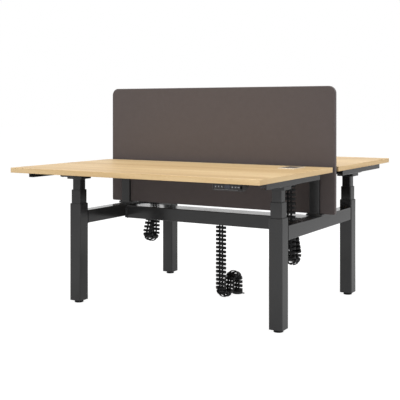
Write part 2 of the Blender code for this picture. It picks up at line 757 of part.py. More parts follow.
def path_point(moves, distance):
    """Place (across, up) and heading at a distance along straights and arcs, starting downwards.

    Each move is a length and a curvature, which is zero on a straight.
    """
    across, up, heading = 0.0, 0.0, -math.pi / 2
    for index, (length, curvature) in enumerate(moves):
        last = index == len(moves) - 1
        run = distance if last else min(length, distance)
        turned = heading + curvature * run
        if curvature:
            across += (math.sin(turned) - math.sin(heading)) / curvature
            up -= (math.cos(turned) - math.cos(heading)) / curvature
        else:
            across += run * math.cos(heading)
            up += run * math.sin(heading)
        heading = turned
        distance -= run
        if distance <= 0:
            break
    return across, up, heading


def chain_frame(start, fold, moves, distance):
    """Function that maps a link's own coordinates to the bench's, at a distance down the path."""
    across, up, heading = path_point(moves, distance)
    fold_way = Vector((math.cos(fold), math.sin(fold), 0.0))
    side_way = Vector((math.sin(fold), -math.cos(fold), 0.0))
    upwards = Vector((0.0, 0.0, 1.0))
    centre = Vector(start) + fold_way * across + upwards * up
    along = fold_way * math.cos(heading) + upwards * math.sin(heading)
    normal = fold_way * -math.sin(heading) + upwards * math.cos(heading)

    def place(x, y, t):
        return centre + side_way * x + normal * y + along * t

    return place


def cap(bm, rim, upper, lower):
    """Close one face of a link: its four claws, and its bar without the footprints of any struts."""
    claw = len(rim) // 4
    for start in range(0, len(rim), claw):
        bm.faces.new(rim[start:start + claw])
    right = [rim[0], rim[claw - 1], rim[claw], rim[2 * claw - 1]]
    left = [rim[2 * claw], rim[3 * claw - 1], rim[3 * claw], rim[-1]]
    if not upper:
        bm.faces.new(right + left)
        return
    bm.faces.new(right + [upper[0], lower[0]])
    bm.faces.new(left + [lower[3], upper[3]])
    bm.faces.new((upper[1], upper[2], lower[2], lower[1]))


def link(bm, right_half, left_half, heights, place, before, after):
    """One link of a chain, shaped round a bar that carries the struts to its neighbours.

    The left half is given as its mirror image, with as many points as the right half. The heights
    are those of the bar and of the tips of the claws. before and after say whether struts meet
    its near and its far face. It returns the strut corners on each face.
    """
    bar_height, tip_height = heights
    slope = (tip_height - bar_height) / (VERTEBRA_HALF_WIDTH - SPINE_BAR_HALF)
    outline = right_half + [(-x, y) for x, y in reversed(left_half)]
    middle = len(right_half)
    strut_xs = (STRUT_X + STRUT_HALF, STRUT_X - STRUT_HALF, STRUT_HALF - STRUT_X, -STRUT_HALF - STRUT_X)
    rims = []
    corners = []
    for way, joined in ((-0.5, before), (0.5, after)):
        rim = []
        for x, y in outline:
            height = bar_height + slope * max(0.0, abs(y) - SPINE_BAR_HALF)
            rim.append(bm.verts.new(place(x, y, way * height)))
        rims.append(rim)
        rows = ([], [])
        if joined:
            rows = tuple([bm.verts.new(place(x, y, way * bar_height)) for x in strut_xs]
                         for y in (SPINE_BAR_HALF, -SPINE_BAR_HALF))
        corners.append(rows)
        cap(bm, rim, *rows)
    near, far = rims
    (near_upper, near_lower), (far_upper, far_lower) = corners
    for i in range(len(outline) - 1):
        if i != middle - 1:
            bm.faces.new((near[i], near[i + 1], far[i + 1], far[i]))
    bm.faces.new([near[middle - 1]] + near_upper + [near[middle], far[middle]] + far_upper[::-1]
                 + [far[middle - 1]])
    bm.faces.new([near[-1]] + near_lower[::-1] + [near[0], far[0]] + far_lower + [far[-1]])
    return corners


def strut(bm, low, high, a, b):
    """Skin one strut between the corners on two faces."""
    (low_upper, low_lower), (high_upper, high_lower) = low, high
    ring_low = (low_upper[a], low_upper[b], low_lower[b], low_lower[a])
    ring_high = (high_upper[a], high_upper[b], high_lower[b], high_lower[a])
    for i in range(4):
        j = (i + 1) % 4
        bm.faces.new((ring_low[i], ring_low[j], ring_high[j], ring_high[i]))


def chain(bm, start, fold, moves, left_reach, drop):
    """One flexible moulding: a hanger, and vertebrae spread evenly down a path to its end."""
    first = drop + (HANGER_THICKNESS + VERTEBRA_HEIGHT) / 2
    spread = sum(length for length, curvature in moves) - first
    steps = round(spread / VERTEBRA_PITCH)
    upright = chain_frame(start, fold, [(1.0, 0.0)], 0.0)
    pads = (hanger_half(HANGER_REACH), hanger_half(left_reach))
    flat = (HANGER_THICKNESS, HANGER_THICKNESS)
    tapered = (VERTEBRA_HEIGHT, VERTEBRA_TIP_HEIGHT)
    below = link(bm, *pads, flat, upright, False, True)[1]
    for k in range(steps + 1):
        place = chain_frame(start, fold, moves, first + spread * k / steps)
        halves = (vertebra_half(), vertebra_half())
        above, next_below = link(bm, *halves, tapered, place, True, k < steps)
        strut(bm, below, above, 0, 1)
        strut(bm, below, above, 2, 3)
        below = next_below


def desk_spine(name, look, parent):
    """Spine below the cable port: down, round one bend towards the beam, and up, leaning back.

    Its hanger bridges the port's hole, reaches less far on the side of the knees, and has long
    legs, which leave the way through the port clear.
    """
    bm = bmesh.new()
    radius = DESK_SPINE_FOLD / 2
    start_z = UNDERSIDE - GAP - HANGER_THICKNESS / 2
    turn_z = DESK_SPINE_BOTTOM + VERTEBRA_HALF_WIDTH + radius
    rise = DESK_SPINE_RETURN_TOP - turn_z - radius * math.sin(DESK_SPINE_LEAN)
    moves = [
        (start_z - turn_z, 0.0),
        ((math.pi + DESK_SPINE_LEAN) * radius, 1 / radius),
        (rise / math.cos(DESK_SPINE_LEAN), 0.0),
    ]
    start = (DESK_SPINE_X, -DESK_SPINE_Y, start_z)
    chain(bm, start, math.pi / 2, moves, HANGER_SHORT_REACH, DESK_HANGER_DROP)
    return finish(name, bm, look, parent, smooth_angle=30)


def floor_spine(looks):
    """Spine from the beam to the floor: two folds, down to a weighted base with a small tab."""
    bm = bmesh.new()
    radius = FLOOR_SPINE_FOLD / 2
    start_z = BEAM_TOP - BEAM_HEIGHT - GAP - HANGER_THICKNESS / 2
    low_centre = FLOOR_SPINE_CLEARANCE + VERTEBRA_HALF_WIDTH + radius
    end_z = BASE_HEIGHT + GAP + VERTEBRA_HEIGHT / 2
    moves = [
        (start_z - low_centre, 0.0),
        (math.pi * radius, 1 / radius),
        (FLOOR_SPINE_TURN_LIFT, 0.0),
        (math.pi * radius, -1 / radius),
        (low_centre + FLOOR_SPINE_TURN_LIFT - end_z, 0.0),
    ]
    start = (FLOOR_SPINE_X, 0.0, start_z)
    chain(bm, start, FLOOR_SPINE_FOLD_ANGLE, moves, HANGER_REACH, BEAM_HANGER_DROP)
    finish("floor_spine", bm, looks["spine"], smooth_angle=30)

    fold_way = Vector((math.cos(FLOOR_SPINE_FOLD_ANGLE), math.sin(FLOOR_SPINE_FOLD_ANGLE), 0.0))
    centre = Vector((FLOOR_SPINE_X, 0.0, 0.0)) + fold_way * 2 * FLOOR_SPINE_FOLD
    puck = bmesh.new()
    full = circle(BASE_RADIUS, 24)
    chamfered = circle(BASE_RADIUS - BASE_CHAMFER, 24)
    loops = [
        level(full, 0.0),
        level(full, BASE_HEIGHT - BASE_CHAMFER),
        level(chamfered, BASE_HEIGHT),
    ]
    loft(puck, loops)
    base = finish("floor_spine_base", puck, looks["rubber"], place=centre)
    tab = bmesh.new()
    low = (0.0, -BASE_TAB_WIDTH / 2, BASE_TAB_HEIGHT / 2)
    high = (BASE_RADIUS + BASE_TAB_LENGTH, BASE_TAB_WIDTH / 2, BASE_TAB_HEIGHT * 3 / 2)
    box(tab, low, high)
    cut(base, tab, "floor_spine_base_tab", "UNION", place=centre)


def empty(name, location, turn=0.0, parent=None):
    """A guide point that pieces hang from."""
    made = bpy.data.objects.new(name, None)
    made.location = location
    made.rotation_euler = (0.0, 0.0, turn)
    made.parent = parent
    made.empty_display_size = 0.05
    bpy.context.collection.objects.link(made)
    return made


def build_frame(looks):
    """The shared frame: four outer columns, crossbars, beam, screen, feet and floor spine."""
    for end, way_y in ENDS.items():
        for side, way_x in SIDES.items():
            place = (way_x * COLUMN_X, way_y * COLUMN_Y, 0.0)
            outer_column(f"outer_column_{end}_{side}", looks["paint"], place)
            levelling_foot(f"foot_{end}_{side}", looks["rubber"], place)
    for side, way_x in SIDES.items():
        crossbar(f"crossbar_{side}", looks["paint"], (way_x * COLUMN_X, 0.0, 0.0))
    central_beam(looks["paint"])
    screen_panel(looks["felt"])
    floor_spine(looks)


def build_desk(end, looks):
    """One desk, modelled as the front one and turned with its empty for the rear."""
    turned = end == "rear"
    origin = empty(f"{end}_desk_centre", (0.0, 0.0, 0.0), math.pi if turned else 0.0)
    middle_bore = OUTER_SIZE - 2 * TUBE_WALL
    inner_bore = MIDDLE_SIZE - 2 * TUBE_WALL
    for side, way_x in SIDES.items():
        label = f"{end}_{side}"
        way_x = -way_x if turned else way_x
        place = (way_x * COLUMN_X, -COLUMN_Y, 0.0)
        middle = bmesh.new()
        square_tube(middle, MIDDLE_SIZE, INNER_SIZE + 2 * GAP, middle_bore,
                    MIDDLE_TOP - MIDDLE_LENGTH, MIDDLE_TOP)
        finish(f"middle_column_{label}", middle, looks["paint"], origin, place)
        inner = bmesh.new()
        square_tube(inner, INNER_SIZE, None, inner_bore, INNER_TOP - INNER_LENGTH, INNER_TOP)
        finish(f"inner_column_{label}", inner, looks["paint"], origin, place)
        spindle(f"spindle_{label}", looks["steel"], origin, place)
        drive(f"drive_{label}", looks["paint"], origin, place)
        side_bracket(f"side_bracket_{label}", looks["paint"], origin, way_x)
    crossrail(f"crossrail_{end}", looks["paint"], origin)
    control_box(f"control_box_{end}", looks["plastic"], origin)
    desktop(f"desktop_{end}", looks["oak"], origin)
    flap_frame(f"flap_frame_{end}", looks["aluminium"], origin)
    flap_lid(f"flap_lid_{end}", looks["aluminium"], origin)
    handset(f"handset_{end}", looks["handset"], origin)
    for number, offset in enumerate(key_offsets(), start=1):
        key(f"key_{end}_{number}", looks["key"], origin, offset)
    desk_spine(f"desk_spine_{end}", looks["spine"], origin)


def main():
    """Clear the scene and build the bench."""
    for old in list(bpy.data.objects):
        bpy.data.objects.remove(old, do_unlink=True)
    looks = {
        "paint": material("charcoal_paint", (0.052, 0.052, 0.054), 0.45),
        "oak": material("light_oak", (0.665, 0.485, 0.255), 0.55),
        "felt": material("screen_felt", (0.094, 0.073, 0.069), 0.95),
        "plastic": material("black_plastic", (0.020, 0.020, 0.021), 0.50),
        "spine": material("spine_plastic", (0.016, 0.016, 0.017), 0.42),
        "rubber": material("foot_plastic", (0.022, 0.022, 0.022), 0.70),
        "steel": material("spindle_steel", (0.55, 0.55, 0.56), 0.30, 1.0),
        "aluminium": material("anodised_aluminium", (0.72, 0.71, 0.70), 0.32, 1.0),
        "handset": material("handset_plastic", (0.045, 0.045, 0.048), 0.40),
        "key": material("key_plastic", (0.30, 0.30, 0.31), 0.45),
    }
    build_frame(looks)
    for end in ENDS:
        build_desk(end, looks)


main()
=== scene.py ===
"""Looks of the back-to-back height-adjustable bench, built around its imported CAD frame.

Units are metres, +Z is up and the front user sits at -Y. Each desk is made in its own coordinates,
where its user sits at -Y, and the rear one is turned by half a turn. Vertices hold places in the
row frame, so Object texture coordinates are a piece's place on the object at rest.
"""
import math
import random

import bmesh
import bpy
from mathutils import Matrix, Vector


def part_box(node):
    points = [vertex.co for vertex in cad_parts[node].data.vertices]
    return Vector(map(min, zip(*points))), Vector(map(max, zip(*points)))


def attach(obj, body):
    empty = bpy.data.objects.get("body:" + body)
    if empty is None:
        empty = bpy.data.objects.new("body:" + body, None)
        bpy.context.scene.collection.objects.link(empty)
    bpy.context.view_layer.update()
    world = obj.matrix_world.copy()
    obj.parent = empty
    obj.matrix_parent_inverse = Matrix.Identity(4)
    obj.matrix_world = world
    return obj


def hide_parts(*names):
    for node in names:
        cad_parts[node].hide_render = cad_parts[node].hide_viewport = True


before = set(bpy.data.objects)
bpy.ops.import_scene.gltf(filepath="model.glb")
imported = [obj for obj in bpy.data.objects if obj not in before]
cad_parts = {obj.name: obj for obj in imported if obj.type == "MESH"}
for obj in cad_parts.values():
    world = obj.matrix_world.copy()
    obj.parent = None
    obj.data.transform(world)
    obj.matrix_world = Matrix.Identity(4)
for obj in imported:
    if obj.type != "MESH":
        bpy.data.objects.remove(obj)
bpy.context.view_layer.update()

ENDS = ("front", "rear")
SIDES = ("left", "right")
STAGES = ("outer", "middle", "inner")
HALF_TURN = Matrix.Rotation(math.pi, 4, "Z")
FOUR_WAYS = [(-1, -1), (-1, 1), (1, -1), (1, 1)]
UP = Vector((0.0, 0.0, 1.0))
DOWN = -UP

# Sizes of the CAD source that a node's box doesn't give
CLEARANCE = 0.0003
TUBE_WALL = 0.002
TUBE_RADIUS = 0.007
TUBE_STEP = 0.010
SHOE_HEIGHT = 0.030
GUIDE_DEPTH = 0.040
FLOOR_PLATE = 0.005
FRAME_RADIUS = 0.005
FRAME_WALL = 0.003
CROSSBAR_TOP = 0.489
CROSSBAR_NARROWER = 0.004
FLANGE_THICKNESS = 0.006
FLANGE_MARGIN = 0.010
FLANGE_LOW = 0.002
POST_WIDTH = 0.054
POST_DEPTH = 0.016
POST_RADIUS = 0.003
POST_BASE_LENGTH = 0.090
POST_BASE_MARGIN = 0.004
POST_BASE_HEIGHT = 0.0094
SCREEN_TOP_RADIUS = 0.038
SCREEN_BOTTOM_RADIUS = 0.008
HEAD_DEPTH = 0.090
HEAD_THICKNESS = 0.015
DRIVE_RADIUS = 0.008
ARM_SHEET = 0.0025
RAIL_WALL = 0.002
RAIL_RADIUS = 0.003
TOP_CORNER_RADIUS = 0.004
PORT_RIM = 0.005
PORT_FRONT_RIM = 0.014
PORT_LEDGE = 0.002
PORT_COLLAR_WALL = 0.002
PORT_REBATE = 0.0015
PORT_RADIUS = 0.004

# Cable spines, with the sizes and the paths of the CAD source
VERTEBRA_HALF_LENGTH = 0.032
VERTEBRA_HALF_WIDTH = 0.021
VERTEBRA_HEIGHT = 0.0138
VERTEBRA_TIP_HEIGHT = 0.0084
VERTEBRA_PITCH = 0.022
VERTEBRA_MOUTH = 0.008
SPINE_BAR_HALF = 0.003
STRUT_X = 0.009
HANGER_THICKNESS = 0.003
HANGER_REACH = 0.064
HANGER_SHORT_REACH = 0.039
HANGER_PAD_HALF = 0.008
HANGER_WAIST = 0.018
BEAM_HANGER_DROP = 0.012
DESK_HANGER_DROP = 0.030
FLOOR_SPINE_X = 0.031
FLOOR_SPINE_FOLD_ANGLE = math.radians(83.3)
FLOOR_SPINE_FOLD = 0.077
FLOOR_SPINE_TURN_LIFT = 0.015
FLOOR_SPINE_CLEARANCE = 0.001
BASE_RADIUS = 0.029
BASE_HEIGHT = 0.016
BASE_TAB_LENGTH = 0.015
BASE_TAB_WIDTH = 0.008
BASE_TAB_HEIGHT = 0.005
BASE_TAB_ROOT = 0.010
DESK_SPINE_FROM_PORT = 0.012
DESK_SPINE_FOLD = 0.070
DESK_SPINE_BOTTOM = 0.250
DESK_SPINE_LEAN = math.radians(20.0)
DESK_SPINE_RETURN_TOP = 0.380

# Details that only the looks have
LIP_HEIGHT = 0.0022
LIP_INSET = 0.0004
EDGE = 0.0010
SHARP = (CLEARANCE, CLEARANCE)
BEAD = 0.0022
SCREW_RADIUS = 0.0045
SMALL_SCREW_RADIUS = 0.0040
BOX_SCREW_RADIUS = 0.0036
BOARD_EDGE = 0.0016
FELT_EDGE = 0.0040
SEAM_DEPTH = 0.0009
SEAM_HALF = 0.0012
PARTING_SHARE = 0.62
END_GRAIN_FACING = 0.75
BEND_RADIUS = 0.0028
SHEET_EDGE = 0.0005
INNER_BEND = 0.0003
CLAW_ROOT = 0.0068
CLAW_SIDE = 0.0058
CLAW_TIP = 0.0012
MOUTH_FLARE = 0.0010
STRUT_HALF = 0.0036
SCREW_FROM_TIP = 0.008
SCREW_FROM_SHORT_TIP = 0.006
PIN_RADIUS = 0.0044
PIN_HALF = 0.0040
SINK = 0.0004

# Feet: share of the pad's radius, or width of the nut across flats, and the rise of each ring
PAD_PROFILE = [(0.92, 0.0), (1.0, 0.0008), (1.0, 0.0024), (0.955, 0.0030), (1.0, 0.0036),
               (1.0, 0.0052), (0.94, 0.0060), (0.60, 0.0066), (0.42, 0.0080)]
NUT_PROFILE = [(0.0155, 0.0076), (0.0168, 0.0082), (0.0168, 0.0124), (0.0155, 0.0130)]
STUD_START = 0.0125
STUD_RINGS = 34
STUD_ROOT = 0.0035
STUD_CREST = 0.0040

# Contacts in the four sockets of a control box
SOCKET_PITCH = 0.032
CONTACT_PITCH = 0.0036
CONTACT_WIDTH = 0.0012
CONTACT_HEIGHT = 0.0040
CONTACT_BACK = 0.0080
CONTACT_FRONT = 0.0020

# Brush strip of a cable port
BRISTLES = 96
BRISTLE_ROWS = 3
BRISTLE_HALF = 0.00032
BRUSH_SINK = 0.0008
HOLDER_DEPTH = 0.0022
HOLDER_HEIGHT = 0.0060
FIRST_ROW_DROP = 0.0014
ROW_PITCH = 0.0011

# Marks and windows on a handset
MARK_DEPTH = 0.00015
ARROW_SIZE = 0.0046
DASH_LENGTH = 0.0056
DASH_HEIGHT = 0.0020
DOT_RADIUS = 0.0020
DOT_PITCH = 0.0032
KEY_PROUD = 0.0006
WINDOW_LENGTH = 0.0276
WINDOW_HEIGHT = 0.0146
WINDOW_BACK = 0.0008
LINE_LENGTH = 0.118
LINE_HEIGHT = 0.0009
LINE_RISE = 0.0050
LINE_SHIFT = 0.006
RECESS_WIDTH = 0.0096
RECESS_FROM_CENTRE = 0.0680
KNOB_RADIUS = 0.0040
KNOB_PROUD = 0.0012

# Name, place, size and power in watts of each soft lamp, and the point that they face
LAMPS = [
    ("right_lamp", (5.0, 0.6, 0.9), 2.4, 128.0),
    ("front_lamp", (-0.5, -5.0, 1.6), 3.0, 94.0),
    ("low_lamp", (1.2, -3.5, 0.7), 1.5, 24.0),
    ("top_lamp", (0.3, -0.3, 4.5), 3.5, 134.0),
    ("back_lamp", (0.0, 4.5, 3.5), 3.0, 46.0),
]
LAMP_AIM = (0.0, 0.0, 0.6)
FLOOR_REACH = 30.0
FLOOR_THICKNESS = 0.02
FLOOR_TONE = 0.30
FLOOR_GLOW = 0.92
FLOOR_IN_GLOSS = 0.55
SURROUND_LIGHT = 0.30


# Outlines and lofts


def polar(reach, angle, x=0.0, y=0.0):
    """Point at a distance and an angle from a place."""
    return (x + reach * math.cos(angle), y + reach * math.sin(angle))


def rounded_rectangle(length, width, radius, steps=6):
    """Points of a rectangle with round corners, counter-clockwise from +X +Y."""
    points = []
    for quarter in range(4):
        centre_x = (1 if quarter in (0, 3) else -1) * (length / 2 - radius)
        centre_y = (1 if quarter in (0, 1) else -1) * (width / 2 - radius)
        for step in range(steps):
            angle = math.pi / 2 * (quarter + step / (steps - 1))
            points.append(polar(radius, angle, centre_x, centre_y))
    return points


def circle(radius, count=24):
    """Points of a circle in the order of rounded_rectangle's."""
    return [polar(radius, (i + 0.5) * 2 * math.pi / count) for i in range(count)]


def hexagon(across, count=24):
    """Points round a hexagon of that width across flats, as many as a circle's."""
    points = []
    for i in range(count):
        angle = (i + 0.5) * 2 * math.pi / count
        from_flat = (angle + math.pi / 6) % (math.pi / 3) - math.pi / 6
        reach = across / 2 / math.cos(from_flat)
        points.append(polar(reach, angle))
    return points


def plate(length, width, radius, steps=6):
    """Outline of a plate as a function of how far it is inset."""
    def outline(inset):
        corner = max(radius - inset, 0.0001)
        return rounded_rectangle(length - 2 * inset, width - 2 * inset, corner, steps)
    return outline


def level(points, height, centre=(0.0, 0.0)):
    """Lift plane points to a height above the floor."""
    return [(x + centre[0], y + centre[1], height) for x, y in points]


def along_x(points, x, centre=(0.0, 0.0)):
    """Stand plane points up in the YZ plane at a place along X."""
    return [(x, a + centre[0], b + centre[1]) for a, b in points]


def along_y(points, y, centre=(0.0, 0.0)):
    """Stand plane points up in the XZ plane at a place along Y."""
    return [(a + centre[0], y, b + centre[1]) for a, b in points]


def skin(bm, low, high):
    """Faces between two rings of vertices."""
    for i in range(len(low)):
        j = (i + 1) % len(low)
        bm.faces.new((low[i], low[j], high[j], high[i]))


def loft(bm, loops, closed=False):
    """Skin matching loops of points; the ends are capped unless the last loop meets the first."""
    rings = [[bm.verts.new(point) for point in loop] for loop in loops]
    following = rings[1:] + rings[:1] if closed else rings[1:]
    for low, high in zip(rings, following):
        skin(bm, low, high)
    if not closed:
        bm.faces.new(rings[0][::-1])
        bm.faces.new(rings[-1])


def round_rim(edge, steps):
    """Inset and rise of each step of a quarter round edge."""
    turns = [math.pi / 2 * i / steps for i in range(steps + 1)]
    return [(edge * (1 - math.sin(a)), edge * (1 - math.cos(a))) for a in turns]


def slab(bm, outline, low, high, edges, stand=level, centre=(0.0, 0.0), steps=3):
    """A slab from low to high; edges are the radii that its low and its high rim are rounded to."""
    rims = [round_rim(edge, steps) for edge in edges]
    loops = [stand(outline(inset), low + rise, centre) for inset, rise in rims[0]]
    loops += [stand(outline(inset), high - rise, centre) for inset, rise in reversed(rims[1])]
    loft(bm, loops)


def tube(bm, outline, wall, low, high, edge, stand=level, centre=(0.0, 0.0)):
    """A tube with open ends whose outer rims are rounded a little."""
    section = [
        (wall, low), (edge, low), (edge * 0.3, low + edge * 0.3), (0.0, low + edge),
        (0.0, high - edge), (edge * 0.3, high - edge * 0.3), (edge, high), (wall, high),
    ]
    loft(bm, [stand(outline(inset), at, centre) for inset, at in section], closed=True)


def weld_bead(bm, outline, wall_at, way, stand=level, centre=(0.0, 0.0)):
    """The bead round the foot of a section that is welded to a wall; way points off the wall."""
    section = [(CLEARANCE, 1.0), (-BEAD * 0.42, 0.66), (-BEAD * 0.72, 0.36), (-BEAD, 0.0)]
    loops = [stand(outline(inset), wall_at + way * BEAD * rise, centre) for inset, rise in section]
    loops.append(stand(outline(CLEARANCE), wall_at, centre))
    loft(bm, loops, closed=True)


def screw(bm, place, way, radius=SCREW_RADIUS):
    """Low round screw head with a hexagon socket, on a surface that faces along way."""
    height = radius * 0.55
    profile = [(1.0, 0.0), (1.0, 0.35), (0.93, 0.70), (0.78, 0.93), (0.62, 1.0)]
    loops = [level(circle(radius * wide), height * high) for wide, high in profile]
    socket = hexagon(radius * 0.85)
    loops += [level(socket, height), level(socket, height * 0.25)]
    turn = UP.rotation_difference(Vector(way))
    loft(bm, [[Vector(place) + turn @ Vector(point) for point in loop] for loop in loops])


def fillet(points, radii, steps=4):
    """Round the corners of a polygon with arcs of the given radii."""
    rounded = []
    count = len(points)
    for i, (corner, radius) in enumerate(zip(points, radii)):
        corner = Vector(corner)
        to_last = (Vector(points[i - 1]) - corner).normalized()
        to_next = (Vector(points[(i + 1) % count]) - corner).normalized()
        half = to_last.angle(to_next) / 2
        back_off = radius / math.tan(half)
        centre = corner + (to_last + to_next).normalized() * radius / math.sin(half)
        start = corner + to_last * back_off - centre
        end = corner + to_next * back_off - centre
        for step in range(steps):
            share = step / (steps - 1)
            arm = (start * (1 - share) + end * share).normalized() * radius
            rounded.append(tuple(centre + arm))
    return rounded


def bristle(bm, root, tip, half):
    """A thin tapered hair with four sides."""
    around = [(1, 1), (-1, 1), (-1, -1), (1, -1)]
    loft(bm, [[(end[0] + a * size, end[1], end[2] + b * size) for a, b in around]
              for end, size in ((root, half), (tip, half * 0.5))])


# Materials


def feed(tree, socket, value):
    """Give an input a number or a colour, or link another node's socket to it."""
    if isinstance(value, bpy.types.NodeSocket):
        tree.links.new(value, socket)
    else:
        socket.default_value = value


def add(tree, kind, settings=None, **inputs):
    """Add a shader node with its settings and inputs."""
    made = tree.nodes.new(kind)
    for name, value in (settings or {}).items():
        setattr(made, name, value)
    for name, value in inputs.items():
        feed(tree, made.inputs[name.replace("_", " ")], value)
    return made


def math_node(tree, operation, *values):
    """Add a Math node and return its result."""
    made = tree.nodes.new("ShaderNodeMath")
    made.operation = operation
    for socket, value in zip(made.inputs, values):
        feed(tree, socket, value)
    return made.outputs[0]


def weighted(tree, *parts):
    """Sum of values, each times its weight."""
    scaled = [math_node(tree, "MULTIPLY", value, weight) for value, weight in parts]
    total = scaled[0]
    for value in scaled[1:]:
        total = math_node(tree, "ADD", total, value)
    return total


def position(tree, scale=(1.0, 1.0, 1.0)):
    """The place on the object at rest, stretched by a scale."""
    place = tree.nodes.new("ShaderNodeTexCoord").outputs["Object"]
    return add(tree, "ShaderNodeMapping", Vector=place, Scale=scale).outputs["Vector"]


def noise(tree, vector, scale, detail=2.0, roughness=0.5, distortion=0.0):
    """Value of a noise texture."""
    made = add(tree, "ShaderNodeTexNoise", Vector=vector, Scale=scale, Detail=detail,
               Roughness=roughness, Distortion=distortion)
    return made.outputs["Fac"]


def ramp(tree, factor, *stops):
    """Colour ramp through (position, colour) stops."""
    made = tree.nodes.new("ShaderNodeValToRGB")
    tree.links.new(factor, made.inputs["Fac"])
    elements = made.color_ramp.elements
    while len(elements) < len(stops):
        elements.new(0.5)
    for element, (place, colour) in zip(elements, stops):
        element.position = place
        element.color = (*colour, 1.0)
    return made.outputs["Color"]


def shades(tree, factor, colour, *stops):
    """Colour ramp through (position, lightness) stops of one colour."""
    tones = [(at, tuple(min(1.0, channel * light) for channel in colour)) for at, light in stops]
    return ramp(tree, factor, *tones)


def spread(tree, value, low, high, start=0.3, end=0.7):
    """Map a value's range from start to end onto low to high."""
    made = add(tree, "ShaderNodeMapRange", Value=value, From_Min=start, From_Max=end, To_Min=low,
               To_Max=high)
    return made.outputs["Result"]


def bump(tree, height, strength, distance, **under):
    """Normal of a relief of that height, over another Normal where one is given."""
    made = add(tree, "ShaderNodeBump", Height=height, Strength=strength, Distance=distance, **under)
    return made.outputs["Normal"]


def surface(name, metallic=0.0, **constants):
    """A new material and its node tree; constants are set directly on its Principled shader."""
    made = bpy.data.materials.new(name)
    made.use_nodes = True
    shader = made.node_tree.nodes["Principled BSDF"]
    shader.inputs["Metallic"].default_value = metallic
    for socket, value in constants.items():
        shader.inputs[socket.replace("_", " ")].default_value = value
    return made, made.node_tree


def finished(made, colour, roughness, normal):
    """A material once its shader is fed its colour, roughness and normal."""
    inputs = made.node_tree.nodes["Principled BSDF"].inputs
    for socket, value in (("Base Color", colour), ("Roughness", roughness), ("Normal", normal)):
        made.node_tree.links.new(value, inputs[socket])
    return made


def powder_coat(name, colour, roughness):
    """Fine-textured powder coat: orange peel, small sparkling pits and faint handling marks."""
    made, tree = surface(name, Specular_IOR_Level=0.5)
    place = position(tree)
    cloud = noise(tree, place, 4.0, 4.0, 0.6)
    grit = noise(tree, place, 1500.0, 2.0, 0.6)
    peel = noise(tree, place, 420.0, 1.0)
    shade = weighted(tree, (cloud, 0.5), (grit, 0.5))
    tone = shades(tree, shade, colour, (0.30, 0.82), (0.70, 1.20))
    rough = weighted(tree, (spread(tree, cloud, roughness - 0.05, roughness + 0.06), 1.0), (grit, 0.05))
    relief = bump(tree, grit, 0.25, 0.0002, Normal=bump(tree, peel, 0.20, 0.0003))
    return finished(made, tone, rough, relief)


def moulded(name, colour, roughness, grain=1800.0, strength=0.25, specular=0.5):
    """Moulded plastic with a fine spark-eroded grain."""
    made, tree = surface(name, Specular_IOR_Level=specular)
    place = position(tree)
    cells = add(tree, "ShaderNodeTexVoronoi", Vector=place, Scale=grain).outputs["Distance"]
    flow = noise(tree, place, 18.0, 3.0)
    tone = shades(tree, flow, colour, (0.30, 0.85), (0.70, 1.15))
    rough = spread(tree, flow, roughness - 0.04, roughness + 0.06)
    return finished(made, tone, rough, bump(tree, cells, strength, 0.0001))


def brushed(name, colour, roughness, stretch, scale=1.0, metallic=1.0):
    """Metal brushed along the axis where stretch is small; a thick anodised layer is less metallic."""
    made, tree = surface(name, metallic=metallic)
    lines = noise(tree, position(tree, stretch), scale, 3.0, 0.6)
    cloud = noise(tree, position(tree), 30.0, 3.0)
    tone = shades(tree, lines, colour, (0.25, 0.84), (0.75, 1.08))
    polish = spread(tree, lines, roughness - 0.06, roughness + 0.08)
    rough = weighted(tree, (polish, 1.0), (cloud, 0.06))
    return finished(made, tone, rough, bump(tree, lines, 0.12, 0.0001))


def oak(name, along, across):
    """Light oak: growth bands, fibres and open pores over broad planks of lighter and darker wood.

    along and across scale the position for the figure and the pores; the grain runs where they are small.
    """
    made, tree = surface(name, Specular_IOR_Level=0.4)
    broad = position(tree, along)
    bands = noise(tree, broad, 1.0, 4.0, 0.55, 0.6)
    wave = add(tree, "ShaderNodeTexWave", {"bands_direction": "DIAGONAL"}, Vector=broad, Scale=0.9,
               Distortion=5.0, Detail=3.0, Detail_Scale=1.3).outputs["Fac"]
    fine = position(tree, across)
    fibres = noise(tree, fine, 1.0, 3.0, 0.7)
    pores = noise(tree, fine, 2.3, 1.0)
    planks = noise(tree, broad, 0.44, 2.0)
    figure = weighted(tree, (planks, 1.25), (bands, 0.34), (wave, 0.08), (fibres, 0.18))
    figure = math_node(tree, "SUBTRACT", figure, 0.44)
    wood = ramp(tree, figure, (0.30, (0.565, 0.385, 0.190)), (0.46, (0.665, 0.470, 0.244)),
                (0.62, (0.750, 0.558, 0.314)), (0.78, (0.800, 0.625, 0.376)))
    open_pores = spread(tree, pores, 0.0, 1.0, 0.62, 0.74)
    shade = ramp(tree, open_pores, (0.0, (1.0, 1.0, 1.0)), (1.0, (0.70, 0.60, 0.50)))
    mix = add(tree, "ShaderNodeMix", {"data_type": "RGBA", "blend_type": "MULTIPLY"})
    for index, value in ((0, 1.0), (6, wood), (7, shade)):
        feed(tree, mix.inputs[index], value)
    rough = weighted(tree, (spread(tree, fibres, 0.44, 0.54), 1.0), (open_pores, 0.15))
    dent = math_node(tree, "SUBTRACT", math_node(tree, "MULTIPLY", fibres, 0.35), open_pores)
    return finished(made, mix.outputs[2], rough, bump(tree, dent, 0.18, 0.0002))


